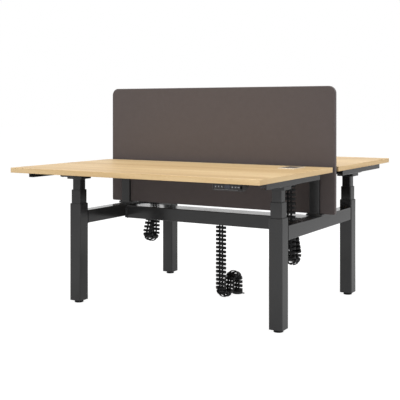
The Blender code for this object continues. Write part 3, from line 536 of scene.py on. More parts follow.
def felt(name, colour):
    """Pressed wool felt: matted fibres, a mottled tone and a soft sheen."""
    made, tree = surface(name, Specular_IOR_Level=0.15, Sheen_Weight=0.25, Sheen_Roughness=0.55)
    place = position(tree)
    mottle = noise(tree, place, 34.0, 5.0, 0.62)
    bends = noise(tree, place, 320.0, 2.0, 0.5, 2.2)
    fibres = noise(tree, position(tree, (1.0, 1.0, 0.35)), 1700.0, 3.0, 0.7, 1.5)
    shade = weighted(tree, (mottle, 0.18), (fibres, 0.82))
    tone = shades(tree, shade, colour, (0.32, 0.80), (0.50, 1.0), (0.68, 1.22))
    rough = spread(tree, mottle, 0.88, 0.98)
    relief = bump(tree, fibres, 0.45, 0.0004, Normal=bump(tree, bends, 0.25, 0.0006))
    return finished(made, tone, rough, relief)


def threaded(name, colour):
    """Rolled steel screw: bright flanks with darker grease in the thread."""
    made, tree = surface(name, metallic=1.0)
    place = position(tree)
    thread = add(tree, "ShaderNodeTexWave", {"bands_direction": "Z", "wave_profile": "TRI"},
                 Vector=place, Scale=52.0, Distortion=0.0).outputs["Fac"]
    grease = noise(tree, place, 60.0, 3.0)
    shade = weighted(tree, (thread, 0.6), (grease, 0.4))
    tone = shades(tree, shade, colour, (0.25, 0.45), (0.65, 1.0))
    rough = spread(tree, grease, 0.22, 0.38)
    return finished(made, tone, rough, bump(tree, thread, 0.8, 0.0010))


def dark_glass(name, colour):
    """Display window: dark bluish glass with a faint smear of roughness."""
    made, tree = surface(name, Specular_IOR_Level=0.6, Coat_Weight=0.5, Coat_Roughness=0.05)
    cloud = noise(tree, position(tree), 120.0, 3.0)
    tone = shades(tree, cloud, colour, (0.30, 0.80), (0.70, 1.25))
    rough = spread(tree, cloud, 0.06, 0.14)
    return finished(made, tone, rough, bump(tree, cloud, 0.02, 0.0001))


# Material of each look, and the slot of the record that it takes its finish from
LOOK = {
    "paint": (powder_coat("charcoal_powder_coat", (0.025, 0.025, 0.0256), 0.15), "charcoal_paint"),
    "top": (oak("oak_top", (1.1, 17.0, 17.0), (26.0, 900.0, 900.0)), "oak"),
    "end": (oak("oak_end_band", (15.0, 1.1, 15.0), (900.0, 26.0, 900.0)), "oak"),
    "felt": (felt("screen_felt", (0.103, 0.086, 0.084)), "screen_felt"),
    "glide": (moulded("black_glide", (0.010, 0.010, 0.011), 0.45), "black_plastic"),
    "case": (moulded("black_case", (0.016, 0.016, 0.017), 0.50, 1400.0), "black_plastic"),
    "spine": (moulded("black_spine", (0.007, 0.007, 0.0075), 0.42, 1600.0, 0.25, 0.25), "spine_plastic"),
    "rubber": (moulded("foot_rubber", (0.020, 0.020, 0.020), 0.72, 900.0, 0.4), "foot_plastic"),
    "bristle": (moulded("brush_nylon", (0.012, 0.012, 0.012), 0.60, 5000.0), "black_plastic"),
    "handset": (moulded("handset_shell", (0.015, 0.013, 0.0125), 0.40, 2200.0, 0.15, 0.35),
                "handset_plastic"),
    "key": (moulded("key_cap", (0.030, 0.030, 0.032), 0.42, 2600.0, 0.15), "key_plastic"),
    # Near-black recess plate and button: painted shade for the inside of the handset's oval recess
    "recess": (moulded("painted_recess_shade", (0.002, 0.002, 0.002), 0.60, 3000.0, 0.1, 0.05),
               "handset_plastic"),
    "mark": (moulded("pale_mark", (0.46, 0.46, 0.46), 0.55, 3000.0, 0.1), "key_plastic"),
    "line": (moulded("light_line", (0.27, 0.27, 0.27), 0.55, 3000.0, 0.1), "key_plastic"),
    "glass": (dark_glass("display_glass", (0.020, 0.023, 0.034)), "handset_plastic"),
    # Frame: the warm cream colour at low metallic is a painted reflection of the oak on the aluminium
    "aluminium": (brushed("aluminium_with_painted_oak_reflection", (0.84, 0.75, 0.62), 0.42, (18.0, 1600.0, 1600.0), 1.0,
                          0.25), "aluminium"),
    "lid": (brushed("anodised_lid", (0.66, 0.59, 0.52), 0.36, (18.0, 1600.0, 1600.0)), "aluminium"),
    "screw": (brushed("blackened_steel", (0.060, 0.060, 0.062), 0.40, (300.0, 300.0, 300.0), 2.0),
              "spindle_steel"),
    "contact": (brushed("contact_brass", (0.78, 0.58, 0.28), 0.30, (900.0, 900.0, 60.0)),
                "spindle_steel"),
    "thread": (threaded("rolled_thread", (0.55, 0.55, 0.56)), "spindle_steel"),
}


# Pieces


def scene_object(name, data):
    """A new object of the scene with that mesh, lamp or camera."""
    made = bpy.data.objects.new(name, data)
    bpy.context.scene.collection.objects.link(made)
    return made


def mesh_object(name, bm, turned=False):
    """A new object of the scene with the faces of a bmesh, turned by half a turn or not."""
    bmesh.ops.recalc_face_normals(bm, faces=bm.faces)
    if turned:
        bm.transform(HALF_TURN)
    mesh = bpy.data.meshes.new(name)
    bm.to_mesh(mesh)
    bm.free()
    return scene_object(name, mesh)


def piece(name, bm, look, end="", body="", replaced="", bevel=0.0, smooth=35.0, extra=()):
    """Turn a bmesh into a finished piece that stands for the replaced node.

    It rides on the given body, or else on the desk that end names, or else on the frame.
    """
    made = mesh_object(name, bm, end == "rear")
    mesh = made.data
    mesh.shade_smooth()
    mesh.set_sharp_from_angle(angle=math.radians(smooth))
    for key in (look, *extra):
        mesh.materials.append(LOOK[key][0])
    if bevel:
        edges = made.modifiers.new("edges", "BEVEL")
        edges.width = bevel
        edges.segments = 2
        edges.limit_method = "ANGLE"
        edges.angle_limit = math.radians(smooth)
        edges.harden_normals = True
    else:
        normals = made.modifiers.new("normals", "WEIGHTED_NORMAL")
        normals.keep_sharp = True
    body = body or (f"{end}_desk" if end else "frame")
    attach(made, body)
    if replaced:
        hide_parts(replaced)


def corners(kind, end, *which):
    """Lowest and highest corner of a node in the coordinates of its own desk."""
    low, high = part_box("_".join((kind, end, *which)))
    if end == "rear":
        low, high = Vector((-high.x, -high.y, low.z)), Vector((-low.x, -low.y, high.z))
    return low, high


def middle(low, high):
    """Centre of a box in plan."""
    return ((low.x + high.x) / 2, (low.y + high.y) / 2)


def keep(look, node):
    """Give a CAD node whose shape is right a better material."""
    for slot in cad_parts[node].material_slots:
        slot.material = LOOK[look][0]


def four_seats(centre, out_x, out_y, height, way):
    """Seats of four screws round a centre."""
    return [((centre[0] + way_x * out_x, centre[1] + way_y * out_y, height), way)
            for way_x, way_y in FOUR_WAYS]


def screws(name, seats, end="", radius=SCREW_RADIUS):
    """Screws of one size as a piece; each seat is a place and the way that the head faces."""
    bm = bmesh.new()
    for place, way in seats:
        screw(bm, place, way, radius)
    piece(name, bm, "screw", end)


def glide_lip(bm, size, top, centre):
    """Bearing collar in the mouth of a tube, with a low lip on the tube's end."""
    seat = top - LIP_HEIGHT
    bore = size - TUBE_STEP + 2 * CLEARANCE
    outside = plate(size, size, TUBE_RADIUS)
    hole = plate(bore, bore, TUBE_RADIUS)
    section = [
        (hole, 0.0, seat - GUIDE_DEPTH), (outside, TUBE_WALL, seat - GUIDE_DEPTH),
        (outside, TUBE_WALL, seat), (outside, LIP_INSET, seat),
        (outside, LIP_INSET, top - LIP_HEIGHT * 0.4), (outside, LIP_INSET + LIP_HEIGHT * 0.3, top),
        (hole, -CLEARANCE, top), (hole, 0.0, top - CLEARANCE),
    ]
    loft(bm, [level(outline(inset), at, centre) for outline, inset, at in section], closed=True)


def column(end, side):
    """Three square tubes of a column, with their collars, shoes and floor plate."""
    label = f"{end}_{side}"
    boxes = [corners(f"{stage}_column", end, side) for stage in STAGES]
    centre = middle(*boxes[0])
    size = boxes[0][1].x - boxes[0][0].x
    for stage, body, (low, high) in zip(STAGES, ("frame", f"{end}_middle", f"{end}_desk"), boxes):
        bottom = low.z if stage == "outer" else low.z + CLEARANCE
        top = high.z if stage == "inner" else high.z - LIP_HEIGHT
        bm = bmesh.new()
        tube(bm, plate(size, size, TUBE_RADIUS), TUBE_WALL, bottom, top, CLEARANCE, centre=centre)
        if stage == "outer":
            bore = size - 2 * TUBE_WALL
            floor_plate = plate(bore, bore, TUBE_RADIUS - TUBE_WALL)
            slab(bm, floor_plate, low.z, low.z + FLOOR_PLATE, SHARP, centre=centre)
        piece(f"{stage}_tube_{label}", bm, "paint", end, body, f"{stage}_column_{label}")

        bm = bmesh.new()
        if stage != "inner":
            glide_lip(bm, size, high.z, centre)
        if stage != "outer":
            shoe_size = high.x - low.x
            shoe = plate(shoe_size, shoe_size, TUBE_RADIUS - TUBE_WALL)
            wall = (shoe_size - size) / 2
            tube(bm, shoe, wall, low.z, low.z + SHOE_HEIGHT, EDGE, centre=centre)
        piece(f"{stage}_glide_{label}", bm, "glide", end, body)
        size -= TUBE_STEP


def foot(end, side):
    """Levelling foot: a ribbed pad on the floor, a lock nut and a threaded stud."""
    node = f"foot_{end}_{side}"
    low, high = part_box(node)
    centre = middle(low, high)
    radius = (high.x - low.x) / 2
    bm = bmesh.new()
    loft(bm, [level(circle(radius * wide, 48), low.z + rise, centre) for wide, rise in PAD_PROFILE])
    piece(f"foot_pad_{end}_{side}", bm, "rubber", body=node, replaced=node)

    bm = bmesh.new()
    loft(bm, [level(hexagon(across), low.z + rise, centre) for across, rise in NUT_PROFILE])
    start = low.z + STUD_START
    pitch = (high.z - start) / (STUD_RINGS - 1)
    rings = [STUD_CREST if i % 2 else STUD_ROOT for i in range(STUD_RINGS)]
    loft(bm, [level(circle(ring), start + i * pitch, centre) for i, ring in enumerate(rings)])
    piece(f"foot_nut_{end}_{side}", bm, "screw", body=node)


def crossbar(side):
    """Crossbar between the columns of one side, with the welded bracket that holds the screen."""
    low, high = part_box(f"crossbar_{side}")
    x = (low.x + high.x) / 2
    axis = (x, (low.z + CROSSBAR_TOP) / 2)
    bm = bmesh.new()
    column_low, column_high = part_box(f"outer_column_front_{side}")
    bar_width = column_high.x - column_low.x - CROSSBAR_NARROWER
    outline = plate(bar_width, CROSSBAR_TOP - low.z, FRAME_RADIUS)
    tube(bm, outline, FRAME_WALL, low.y, high.y, CLEARANCE, along_y, axis)
    for wall_at, way in ((low.y, 1), (high.y, -1)):
        weld_bead(bm, outline, wall_at, way, along_y, axis)

    screen_low, screen_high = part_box("screen_panel")
    inner = screen_high.y + CLEARANCE
    base_top = CROSSBAR_TOP + POST_BASE_HEIGHT
    base = plate(POST_BASE_LENGTH, 2 * (inner + POST_DEPTH + POST_BASE_MARGIN), FRAME_RADIUS)
    slab(bm, base, CROSSBAR_TOP - CLEARANCE, base_top, (CLEARANCE, EDGE), centre=(x, 0.0))
    upright = plate(POST_WIDTH, POST_DEPTH, POST_RADIUS)
    for way in (-1, 1):
        centre = (x, way * (inner + POST_DEPTH / 2))
        slab(bm, upright, base_top - CLEARANCE, high.z, (CLEARANCE, EDGE), centre=centre)
        weld_bead(bm, upright, base_top, 1, centre=centre)
    piece(f"crossbar_with_bracket_{side}", bm, "paint", replaced=f"crossbar_{side}")

    out_x, out_y = POST_BASE_LENGTH * 0.41, 0.019
    screws(f"bracket_screws_{side}", four_seats((x, 0.0), out_x, out_y, base_top, UP))


def central_beam():
    """Beam between the crossbars with an end plate, its weld and its bolts at each end."""
    low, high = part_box("central_beam")
    centre = (0.0, (low.z + high.z) / 2)
    width = high.y - low.y - 2 * FLANGE_MARGIN
    outline = plate(width, high.z - low.z, FRAME_RADIUS)
    flange = plate(high.y - low.y, high.z - low.z - 2 * FLANGE_LOW, FRAME_RADIUS)
    bm = bmesh.new()
    face = high.x - FLANGE_THICKNESS
    tube(bm, outline, FRAME_WALL, -face, face, CLEARANCE, along_x, centre)
    for left, right in ((-high.x, -face), (face, high.x)):
        slab(bm, flange, left, right, (EDGE, EDGE), along_x, centre)
    for way in (1, -1):
        weld_bead(bm, outline, -way * face, way, along_x, centre)
    piece("beam", bm, "paint", replaced="central_beam")

    out_y, out_z = high.y - FLANGE_MARGIN * 0.45, 0.020
    seats = [((way_x * face, way_y * out_y, centre[1] + way_z * out_z), (-way_x, 0, 0))
             for way_x, way_y in FOUR_WAYS for way_z in (-1, 1)]
    screws("beam_screws", seats, radius=SMALL_SCREW_RADIUS)


def screen_outline(low, high):
    """Outline of the screen in XZ, as a function of how far it is inset."""
    small, large = SCREEN_BOTTOM_RADIUS, SCREEN_TOP_RADIUS
    bends = [
        (high.x - small, low.z + small, small, -90, 6), (high.x - large, high.z - large, large, 0, 14),
        (large - high.x, high.z - large, large, 90, 14), (small - high.x, low.z + small, small, 180, 6),
    ]

    def outline(inset):
        points = []
        for x, z, radius, start, count in bends:
            reach = radius - inset
            for step in range(count):
                angle = math.radians(start + 90 * step / (count - 1))
                points.append(polar(reach, angle, x, z))
        return points
    return outline


def screen():
    """Felt-covered panel whose two covers meet in a seam round the middle of its edge."""
    low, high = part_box("screen_panel")
    outline = screen_outline(low, high)
    half = high.y
    side = [(inset, -half + rise) for inset, rise in round_rim(FELT_EDGE, 5)]
    side += [(0.0, -SEAM_HALF), (SEAM_DEPTH * 0.35, -0.0005), (SEAM_DEPTH, 0.0)]
    mirrored = [(inset, -y) for inset, y in reversed(side[:-1])]
    bm = bmesh.new()
    loft(bm, [along_y(outline(inset), y) for inset, y in side + mirrored])
    piece("screen", bm, "felt", replaced="screen_panel")


def drive(end, side):
    """Gear-motor housing in two shells on the head of a column, with the screws that close it."""
    label = f"{end}_{side}"
    low, high = corners("drive", end, side)
    centre = middle(low, high)
    length = high.x - low.x
    case_bottom = low.z + HEAD_THICKNESS
    parting = case_bottom + (high.z - case_bottom) * PARTING_SHARE
    bm = bmesh.new()
    head = plate(length, HEAD_DEPTH, DRIVE_RADIUS)
    case = plate(length, high.y - low.y, DRIVE_RADIUS)
    slab(bm, head, low.z, case_bottom + EDGE, (2 * EDGE, CLEARANCE), centre=centre)
    slab(bm, case, case_bottom, parting, (3 * EDGE, EDGE / 2), centre=centre)
    slab(bm, case, parting, high.z, (EDGE / 2, EDGE), centre=centre)
    piece(f"drive_housing_{label}", bm, "paint", end, replaced=f"drive_{label}")

    out_x, out_y = length * 0.40, 0.086
    screws(f"drive_screws_{label}", four_seats(centre, out_x, out_y, case_bottom, DOWN), end)


def side_bracket(end, side):
    """Folded channel under the end of a top: round bends, and screws up into the wood."""
    label = f"{end}_{side}"
    low, high = corners("side_bracket", end, side)
    way = 1 if low.x > 0 else -1
    inner, outer = (low.x, high.x) if way > 0 else (high.x, low.x)
    web = outer - way * ARM_SHEET
    top, bottom = high.z, low.z
    under, over = top - ARM_SHEET, bottom + ARM_SHEET
    section = [(outer, bottom), (outer, top), (inner, top), (inner, under), (web, under),
               (web, over), (inner, over), (inner, bottom)]
    radii = [BEND_RADIUS] * 2 + [SHEET_EDGE] * 2 + [INNER_BEND] * 2 + [SHEET_EDGE] * 2
    section = fillet(section, radii)
    bm = bmesh.new()
    loft(bm, [along_y(section, low.y), along_y(section, high.y)])
    piece(f"side_channel_{label}", bm, "paint", end, replaced=f"side_bracket_{label}", smooth=24.0)

    length = high.y - low.y
    seats = [(((inner + web) / 2, low.y + length * share, under), DOWN)
             for share in (0.16, 0.50, 0.84)]
    screws(f"side_screws_{label}", seats, end)


def crossrail(end):
    """Rectangular tube between the two drives."""
    low, high = corners("crossrail", end)
    centre = ((low.y + high.y) / 2, (low.z + high.z) / 2)
    outline = plate(high.y - low.y, high.z - low.z, RAIL_RADIUS)
    bm = bmesh.new()
    tube(bm, outline, RAIL_WALL, low.x, high.x, CLEARANCE, along_x, centre)
    piece(f"rail_{end}", bm, "paint", end, replaced=f"crossrail_{end}")


def control_box(end):
    """Contacts in the sockets of the control box, and the screws that hold it."""
    keep("case", f"control_box_{end}")
    low, high = corners("control_box", end)
    middle_z = (low.z + high.z) / 2
    bm = bmesh.new()
    blade = plate(CONTACT_WIDTH, CONTACT_HEIGHT, CLEARANCE, 2)
    back, front = high.y - CONTACT_BACK, high.y - CONTACT_FRONT
    for index in range(16):
        socket, step = divmod(index, 4)
        x = (socket - 1.5) * SOCKET_PITCH + (step - 1.5) * CONTACT_PITCH
        slab(bm, blade, back, front, SHARP, along_y, (x, middle_z), steps=1)
    piece(f"control_contacts_{end}", bm, "contact", end)

    out_x, out_y = high.x - 0.014, 0.024
    seats = four_seats((0.0, (low.y + high.y) / 2), out_x, out_y, low.z, DOWN)
    screws(f"control_screws_{end}", seats, end, BOX_SCREW_RADIUS)


def desktop(end):
    """Oak board with rounded edges, a banded rim and the rebated hole of the cable port."""
    low, high = corners("desktop", end)
    port_low, port_high = corners("flap_frame", end)
    centre = middle(low, high)
    port_centre = middle(port_low, port_high)
    port_length = port_high.x - port_low.x
    port_depth = port_high.y - port_low.y
    hole_centre = (port_centre[0], port_centre[1] + (PORT_FRONT_RIM - PORT_RIM) / 2)
    shrink = 2 * (PORT_LEDGE - PORT_COLLAR_WALL - CLEARANCE)
    hole_length = port_length - 2 * PORT_RIM - shrink
    hole_depth = port_depth - PORT_RIM - PORT_FRONT_RIM - shrink
    outline = plate(high.x - low.x, high.y - low.y, TOP_CORNER_RADIUS)
    rebate = plate(port_length + 2 * CLEARANCE, port_depth + 2 * CLEARANCE, PORT_RADIUS)
    hole = plate(hole_length, hole_depth, PORT_RADIUS)
    rim = round_rim(BOARD_EDGE, 4)
    loops = [level(outline(inset), low.z + rise, centre) for inset, rise in rim]
    loops += [level(outline(inset), high.z - rise, centre) for inset, rise in reversed(rim)]
    ledge = high.z - PORT_REBATE
    loops += [level(rebate(0.0), height, port_centre) for height in (high.z, ledge)]
    loops += [level(hole(0.0), height, hole_centre) for height in (ledge, low.z)]
    bm = bmesh.new()
    loft(bm, loops, closed=True)
    bm.normal_update()
    for face in bm.faces:
        if abs(face.normal.x) > END_GRAIN_FACING:
            face.material_index = 1
    piece(f"oak_board_{end}", bm, "top", end, replaced=f"desktop_{end}", extra=("end",))


def cable_port(end):
    """Brush strip in the slot of the cable port, beside the aluminium frame and lid."""
    keep("aluminium", f"flap_frame_{end}")
    keep("lid", f"flap_lid_{end}")
    frame_low, frame_high = corners("flap_frame", end)
    lid_low, lid_high = corners("flap_lid", end)
    front = frame_low.y + PORT_FRONT_RIM
    left, right = lid_low.x, lid_high.x
    top = frame_high.z - BRUSH_SINK
    bm = bmesh.new()
    holder = plate(right - left, HOLDER_DEPTH, 0.0006, 3)
    centre = ((left + right) / 2, front + HOLDER_DEPTH / 2 + CLEARANCE)
    slab(bm, holder, top - HOLDER_HEIGHT, top, SHARP, centre=centre)
    piece(f"brush_holder_{end}", bm, "case", end)

    bm = bmesh.new()
    draw = random.Random(11)
    for row in range(BRISTLE_ROWS):
        for i in range(BRISTLES):
            x = left + (right - left) * (i + 0.5 + draw.uniform(-0.3, 0.3)) / BRISTLES
            z = top - FIRST_ROW_DROP - ROW_PITCH * row
            root = (x, front + HOLDER_DEPTH, z)
            reach = lid_low.y - SINK - draw.uniform(0.0, 0.0008)
            tip = (x + draw.uniform(-0.0004, 0.0004), reach, z + draw.uniform(-0.0008, 0.0001))
            bristle(bm, root, tip, BRISTLE_HALF)
    piece(f"brush_hairs_{end}", bm, "bristle", end)


def key_mark(bm, number, centre, face_y):
    """Flat mark on a key: arrow up, arrow down, dash, or one to three dots that cover one area."""
    x, z = centre
    if number < 3:
        size = ARROW_SIZE
        way = 1 if number == 1 else -1
        foot_z = z - way * size * 0.38
        points = [(x - size / 2, foot_z), (x + size / 2, foot_z), (x, z + way * size * 0.48)]
        shapes = [(fillet(points, [size * 0.08] * 3), (0.0, 0.0))]
    elif number == 3:
        shapes = [(rounded_rectangle(DASH_LENGTH, DASH_HEIGHT, 0.0005), centre)]
    else:
        count = number - 3
        dot = circle(DOT_RADIUS / math.sqrt(count))
        shapes = [(dot, (x + (i - (count - 1) / 2) * DOT_PITCH, z)) for i in range(count)]
    for points, at in shapes:
        loft(bm, [along_y(points, face_y, at), along_y(points, face_y - MARK_DEPTH, at)])


def handset(end):
    """Key marks, display window, lower light line and oval recess with a button, on a handset; recess and
    button are near-black painted shade.
    """
    keep("handset", f"handset_{end}")
    low, high = corners("handset", end)
    centre_x = (low.x + high.x) / 2
    for number in range(1, 7):
        node = f"key_{end}_{number}"
        keep("key", node)
        key_low, key_high = corners("key", end, str(number))
        centre = ((key_low.x + key_high.x) / 2, (key_low.z + key_high.z) / 2)
        bm = bmesh.new()
        key_mark(bm, number, centre, key_low.y)
        piece(f"key_mark_{end}_{number}", bm, "mark", end, node)

    row_z = centre[1]
    face = key_low.y + KEY_PROUD
    front, back = face - SINK, face + WINDOW_BACK
    bm = bmesh.new()
    window = plate(WINDOW_LENGTH, WINDOW_HEIGHT, 0.0008)
    slab(bm, window, front, back, SHARP, along_y, (centre_x, row_z))
    piece(f"display_{end}", bm, "glass", end)

    bm = bmesh.new()
    line = plate(LINE_LENGTH, LINE_HEIGHT, 0.0004)
    place = (centre_x - LINE_SHIFT, low.z + LINE_RISE)
    thin = (CLEARANCE / 3, CLEARANCE / 3)
    slab(bm, line, low.y - 0.0001, low.y + 0.0006, thin, along_y, place)
    piece(f"handset_line_{end}", bm, "line", end)

    # A near-black plate just proud of the face, and the button on it, are painted shade for the inside of
    # the oval recess
    bm = bmesh.new()
    place = (centre_x + RECESS_FROM_CENTRE, row_z)
    recess = plate(RECESS_WIDTH, WINDOW_HEIGHT, 0.0047, 8)
    slab(bm, recess, front, back, SHARP, along_y, place)
    slab(bm, lambda inset: circle(KNOB_RADIUS - inset, 32), face - KNOB_PROUD, face + SINK,
         (0.0006, CLEARANCE), along_y, place)
    piece(f"handset_button_{end}", bm, "recess", end)


# Cable spines


def path_point(moves, distance):
    """Place (across, up) and heading at a distance along straights and arcs, starting downwards.

    Each move is a length and a curvature, which is zero on a straight.
    """
    across, up, heading = 0.0, 0.0, -math.pi / 2
    for length, curvature in moves:
        run = min(length, distance)
        turned = heading + curvature * run
        if curvature:
            across += (math.sin(turned) - math.sin(heading)) / curvature
            up -= (math.cos(turned) - math.cos(heading)) / curvature
        else:
            across += run * math.cos(heading)
            up += run * math.sin(heading)
        heading = turned
        distance -= run
    return across, up, heading


def chain_frame(start, fold, moves, distance):
    """Function that maps a link's own coordinates to the bench's, at a distance down the path."""
    across, up, heading = path_point(moves, distance)
    fold_way = Vector((math.cos(fold), math.sin(fold), 0.0))
    side_way = Vector((math.sin(fold), -math.cos(fold), 0.0))
    centre = Vector(start) + fold_way * across + UP * up
    along = fold_way * math.cos(heading) + UP * math.sin(heading)
    normal = fold_way * -math.sin(heading) + UP * math.cos(heading)

    def place(x, y, t):
        return centre + side_way * x + normal * y + along * t

    return place


def claw_outline():
    """Outline of the claw above the right end of the bar, from its outer to its inner root."""
    inner_length = VERTEBRA_HALF_LENGTH - CLAW_ROOT
    inner_width = VERTEBRA_HALF_WIDTH - CLAW_SIDE
    outer_root = math.asin(SPINE_BAR_HALF / VERTEBRA_HALF_WIDTH)
    inner_root = math.asin(SPINE_BAR_HALF / inner_width)
    mouth = math.acos(VERTEBRA_MOUTH / 2 / VERTEBRA_HALF_LENGTH)
    inner_mouth = math.acos((VERTEBRA_MOUTH / 2 + MOUTH_FLARE) / inner_length)

    def arc(length, width, start, end, steps=8):
        angles = [start + (end - start) * i / steps for i in range(steps + 1)]
        return [(length * math.cos(angle), width * math.sin(angle)) for angle in angles]

    outer_arc = arc(VERTEBRA_HALF_LENGTH, VERTEBRA_HALF_WIDTH, outer_root, mouth)
    tip = (VERTEBRA_MOUTH / 2 - CLAW_TIP, VERTEBRA_HALF_WIDTH - CLAW_SIDE / 2)
    return outer_arc + [tip] + arc(inner_length, inner_width, inner_mouth, inner_root)


def vertebra(bm, claw, place):
    """One link: a bar with two claws at each end that get lower towards their tips."""
    right = [(x, -y) for x, y in reversed(claw)] + claw
    outline = right + [(-x, y) for x, y in reversed(right)]
    slope = (VERTEBRA_TIP_HEIGHT - VERTEBRA_HEIGHT) / (VERTEBRA_HALF_WIDTH - SPINE_BAR_HALF)
    count = len(claw)
    rims = []
    for way in (-0.5, 0.5):
        rim = []
        for x, y in outline:
            height = VERTEBRA_HEIGHT + slope * max(0.0, abs(y) - SPINE_BAR_HALF)
            rim.append(bm.verts.new(place(x, y, way * height)))
        rims.append(rim)
        for start in range(0, 4 * count, count):
            bm.faces.new(rim[start:start + count])
        bm.faces.new([rim[i * count + edge] for i in range(4) for edge in (0, count - 1)])
    skin(bm, *rims)


def leg(bm, x, near, near_t, far, far_t):
    """Strut between the faces of two links, with rounded edges."""
    section = rounded_rectangle(2 * STRUT_HALF, 2 * STRUT_HALF, 0.0008, 3)
    ends = ((near, near_t), (far, far_t))
    loft(bm, [[place(x + a, b, t) for a, b in section] for place, t in ends])


def hinge_pin(bm, x, place):
    """Knuckle across a strut, halfway between two links."""
    ring = circle(PIN_RADIUS, 16)
    loft(bm, [[place(at, a, b) for a, b in ring] for at in (x - PIN_HALF, x + PIN_HALF)])


def spine(name, end, node, start, fold, moves, left_reach, drop):
    """Chain of clawed vertebrae on two struts each, hung from a plate with screw pads."""
    first = drop + (HANGER_THICKNESS + VERTEBRA_HEIGHT) / 2
    run = sum(length for length, curvature in moves) - first
    steps = round(run / VERTEBRA_PITCH)
    distances = [first + run * k / steps for k in range(steps + 1)]
    frames = [chain_frame(start, fold, moves, distance) for distance in distances]
    upright = chain_frame(start, fold, [], 0.0)
    pad, bar, waist = HANGER_PAD_HALF, SPINE_BAR_HALF, HANGER_WAIST
    hanger = []
    for way, reach in ((1, HANGER_REACH), (-1, left_reach)):
        arm = [(reach, -pad), (reach, pad), (waist, pad), (waist, bar), (-waist, bar), (-waist, pad)]
        hanger += [(way * x, way * y) for x, y in arm]
    radii = [0.004, 0.004, 0.002, 0.0015, 0.0015, 0.002] * 2
    bm = bmesh.new()
    outline = fillet(hanger, radii)
    half = HANGER_THICKNESS / 2
    loft(bm, [[upright(x, y, t) for x, y in outline] for t in (-half, half)])
    claw = claw_outline()
    for place in frames:
        vertebra(bm, claw, place)
    reach = VERTEBRA_HEIGHT / 2 - SINK
    for x in (-STRUT_X, STRUT_X):
        leg(bm, x, upright, half - SINK, frames[0], -reach)
        for k in range(steps):
            leg(bm, x, frames[k], reach, frames[k + 1], -reach)
            halfway = chain_frame(start, fold, moves, (distances[k] + distances[k + 1]) / 2)
            hinge_pin(bm, x, halfway)
    piece(name, bm, "spine", end, replaced=node, bevel=0.0006, smooth=38.0)

    places = (HANGER_REACH - SCREW_FROM_TIP, -left_reach + SCREW_FROM_SHORT_TIP)
    seats = [(upright(x, 0.0, half), DOWN) for x in places]
    screws(f"{name}_screws", seats, end, SMALL_SCREW_RADIUS)


def desk_spine(end):
    """Spine that hangs in a loop below a cable port."""
    low, high = corners("desk_spine", end)
    port_low, port_high = corners("flap_frame", end)
    port_x, y = middle(port_low, port_high)
    x = port_x - DESK_SPINE_FROM_PORT
    radius = DESK_SPINE_FOLD / 2
    start_z = high.z - HANGER_THICKNESS / 2
    turn_z = DESK_SPINE_BOTTOM + VERTEBRA_HALF_WIDTH + radius
    rise = DESK_SPINE_RETURN_TOP - turn_z - radius * math.sin(DESK_SPINE_LEAN)
    moves = [
        (start_z - turn_z, 0.0),
        ((math.pi + DESK_SPINE_LEAN) * radius, 1 / radius),
        (rise / math.cos(DESK_SPINE_LEAN), 0.0),
    ]
    spine(f"cable_spine_{end}", end, f"desk_spine_{end}", (x, y, start_z), math.pi / 2, moves,
          HANGER_SHORT_REACH, DESK_HANGER_DROP)


def floor_spine():
    """Spine from the beam to the floor, folded twice, and its weighted base with a tab."""
    low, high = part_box("floor_spine")
    radius = FLOOR_SPINE_FOLD / 2
    start_z = high.z - HANGER_THICKNESS / 2
    low_centre = FLOOR_SPINE_CLEARANCE + VERTEBRA_HALF_WIDTH + radius
    end_z = BASE_HEIGHT + CLEARANCE + VERTEBRA_HEIGHT / 2
    moves = [
        (start_z - low_centre, 0.0),
        (math.pi * radius, 1 / radius),
        (FLOOR_SPINE_TURN_LIFT, 0.0),
        (math.pi * radius, -1 / radius),
        (low_centre + FLOOR_SPINE_TURN_LIFT - end_z, 0.0),
    ]
    spine("cable_spine_floor", "", "floor_spine", (FLOOR_SPINE_X, 0.0, start_z),
          FLOOR_SPINE_FOLD_ANGLE, moves, HANGER_REACH, BEAM_HANGER_DROP)

    base_low, base_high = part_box("floor_spine_base")
    centre = (base_low.x + BASE_RADIUS, (base_low.y + base_high.y) / 2)
    bm = bmesh.new()
    profile = [(0.0022, 0.0), (0.0, 0.0010), (0.0, 0.0040), (0.0010, 0.0046), (0.0, 0.0052),
               (0.0, BASE_HEIGHT - 0.0040), (0.0010, BASE_HEIGHT - 0.0016), (0.0040, BASE_HEIGHT)]
    loft(bm, [level(circle(BASE_RADIUS - inset, 64), rise, centre) for inset, rise in profile])
    tab = plate(BASE_TAB_LENGTH + BASE_TAB_ROOT, BASE_TAB_WIDTH, 0.003)
    tab_centre = (centre[0] + BASE_RADIUS + (BASE_TAB_LENGTH - BASE_TAB_ROOT) / 2, centre[1])
    slab(bm, tab, BASE_TAB_HEIGHT / 2, BASE_TAB_HEIGHT * 3 / 2, (EDGE, EDGE), centre=tab_centre)
    piece("spine_weight", bm, "rubber", replaced="floor_spine_base")


# Floor, light and camera


def seen_directly(tree, in_gloss=1.0):
    """1 for rays that show the background from the camera or through glass; in_gloss in gloss."""
    path = tree.nodes.new("ShaderNodeLightPath")
    gloss = math_node(tree, "MULTIPLY", path.outputs["Is Glossy Ray"], in_gloss)
    straight = math_node(tree, "MAXIMUM", path.outputs["Is Camera Ray"], gloss)
    return math_node(tree, "MAXIMUM", straight, path.outputs["Is Transmission Ray"])


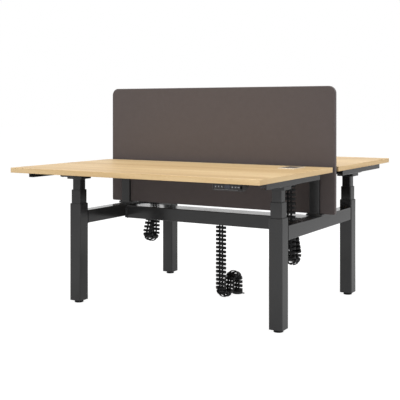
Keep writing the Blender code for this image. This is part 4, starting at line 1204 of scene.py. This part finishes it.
def studio():
    """Pale floor that keeps a faint shadow, a white surround and soft lamps, none at the left."""
    bm = bmesh.new()
    square = rounded_rectangle(2 * FLOOR_REACH, 2 * FLOOR_REACH, 1.0)
    loft(bm, [level(square, height) for height in (-FLOOR_THICKNESS, 0.0)])
    floor = mesh_object("studio_floor", bm)
    made, tree = surface("studio_floor")
    tree.nodes.clear()
    matt = add(tree, "ShaderNodeBsdfDiffuse", Color=(FLOOR_TONE, FLOOR_TONE, FLOOR_TONE, 1.0))
    strength = math_node(tree, "MULTIPLY", seen_directly(tree, FLOOR_IN_GLOSS), FLOOR_GLOW)
    glow = add(tree, "ShaderNodeEmission", Strength=strength)
    both = tree.nodes.new("ShaderNodeAddShader")
    tree.links.new(matt.outputs[0], both.inputs[0])
    tree.links.new(glow.outputs[0], both.inputs[1])
    add(tree, "ShaderNodeOutputMaterial", Surface=both.outputs[0])
    floor.data.materials.append(made)

    world = bpy.data.worlds.new("studio")
    world.use_nodes = True
    bpy.context.scene.world = world
    tree = world.node_tree
    background = tree.nodes["Background"]
    background.inputs["Color"].default_value = (1.0, 1.0, 1.0, 1.0)
    strength = spread(tree, seen_directly(tree), SURROUND_LIGHT, 1.0, 0.0, 1.0)
    tree.links.new(strength, background.inputs["Strength"])
    for lamp in LAMPS:
        soft_box(*lamp)


def soft_box(name, place, size, power):
    """Square soft lamp that faces the bench and doesn't show in its gloss."""
    light = bpy.data.lights.new(name, "AREA")
    light.shape = "SQUARE"
    light.size = size
    light.energy = power
    lamp = scene_object(name, light)
    lamp.location = place
    lamp.rotation_euler = (Vector(LAMP_AIM) - Vector(place)).to_track_quat("-Z", "Y").to_euler()
    lamp.visible_glossy = False


def camera():
    """Level camera at the photograph's place; the shifts put its horizon and centre as there."""
    data = bpy.data.cameras.new("camera")
    data.sensor_width = 36.0
    data.lens = 73.04
    data.shift_x = -0.0709
    data.shift_y = -0.2292
    made = scene_object("camera", data)
    made.location = (2.2457, -3.8304, 1.0361)
    made.rotation_euler = (math.radians(90.0), 0.0, math.radians(29.52))
    bpy.context.scene.camera = made


def main():
    """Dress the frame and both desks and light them."""
    camera()
    studio()
    for side in SIDES:
        crossbar(side)
    central_beam()
    screen()
    floor_spine()
    for end in ENDS:
        for side in SIDES:
            column(end, side)
            foot(end, side)
            drive(end, side)
            side_bracket(end, side)
            keep("thread", f"spindle_{end}_{side}")
        crossrail(end)
        control_box(end)
        desktop(end)
        cable_port(end)
        handset(end)
        desk_spine(end)
    bpy.context.scene.view_settings.view_transform = "Standard"


main()
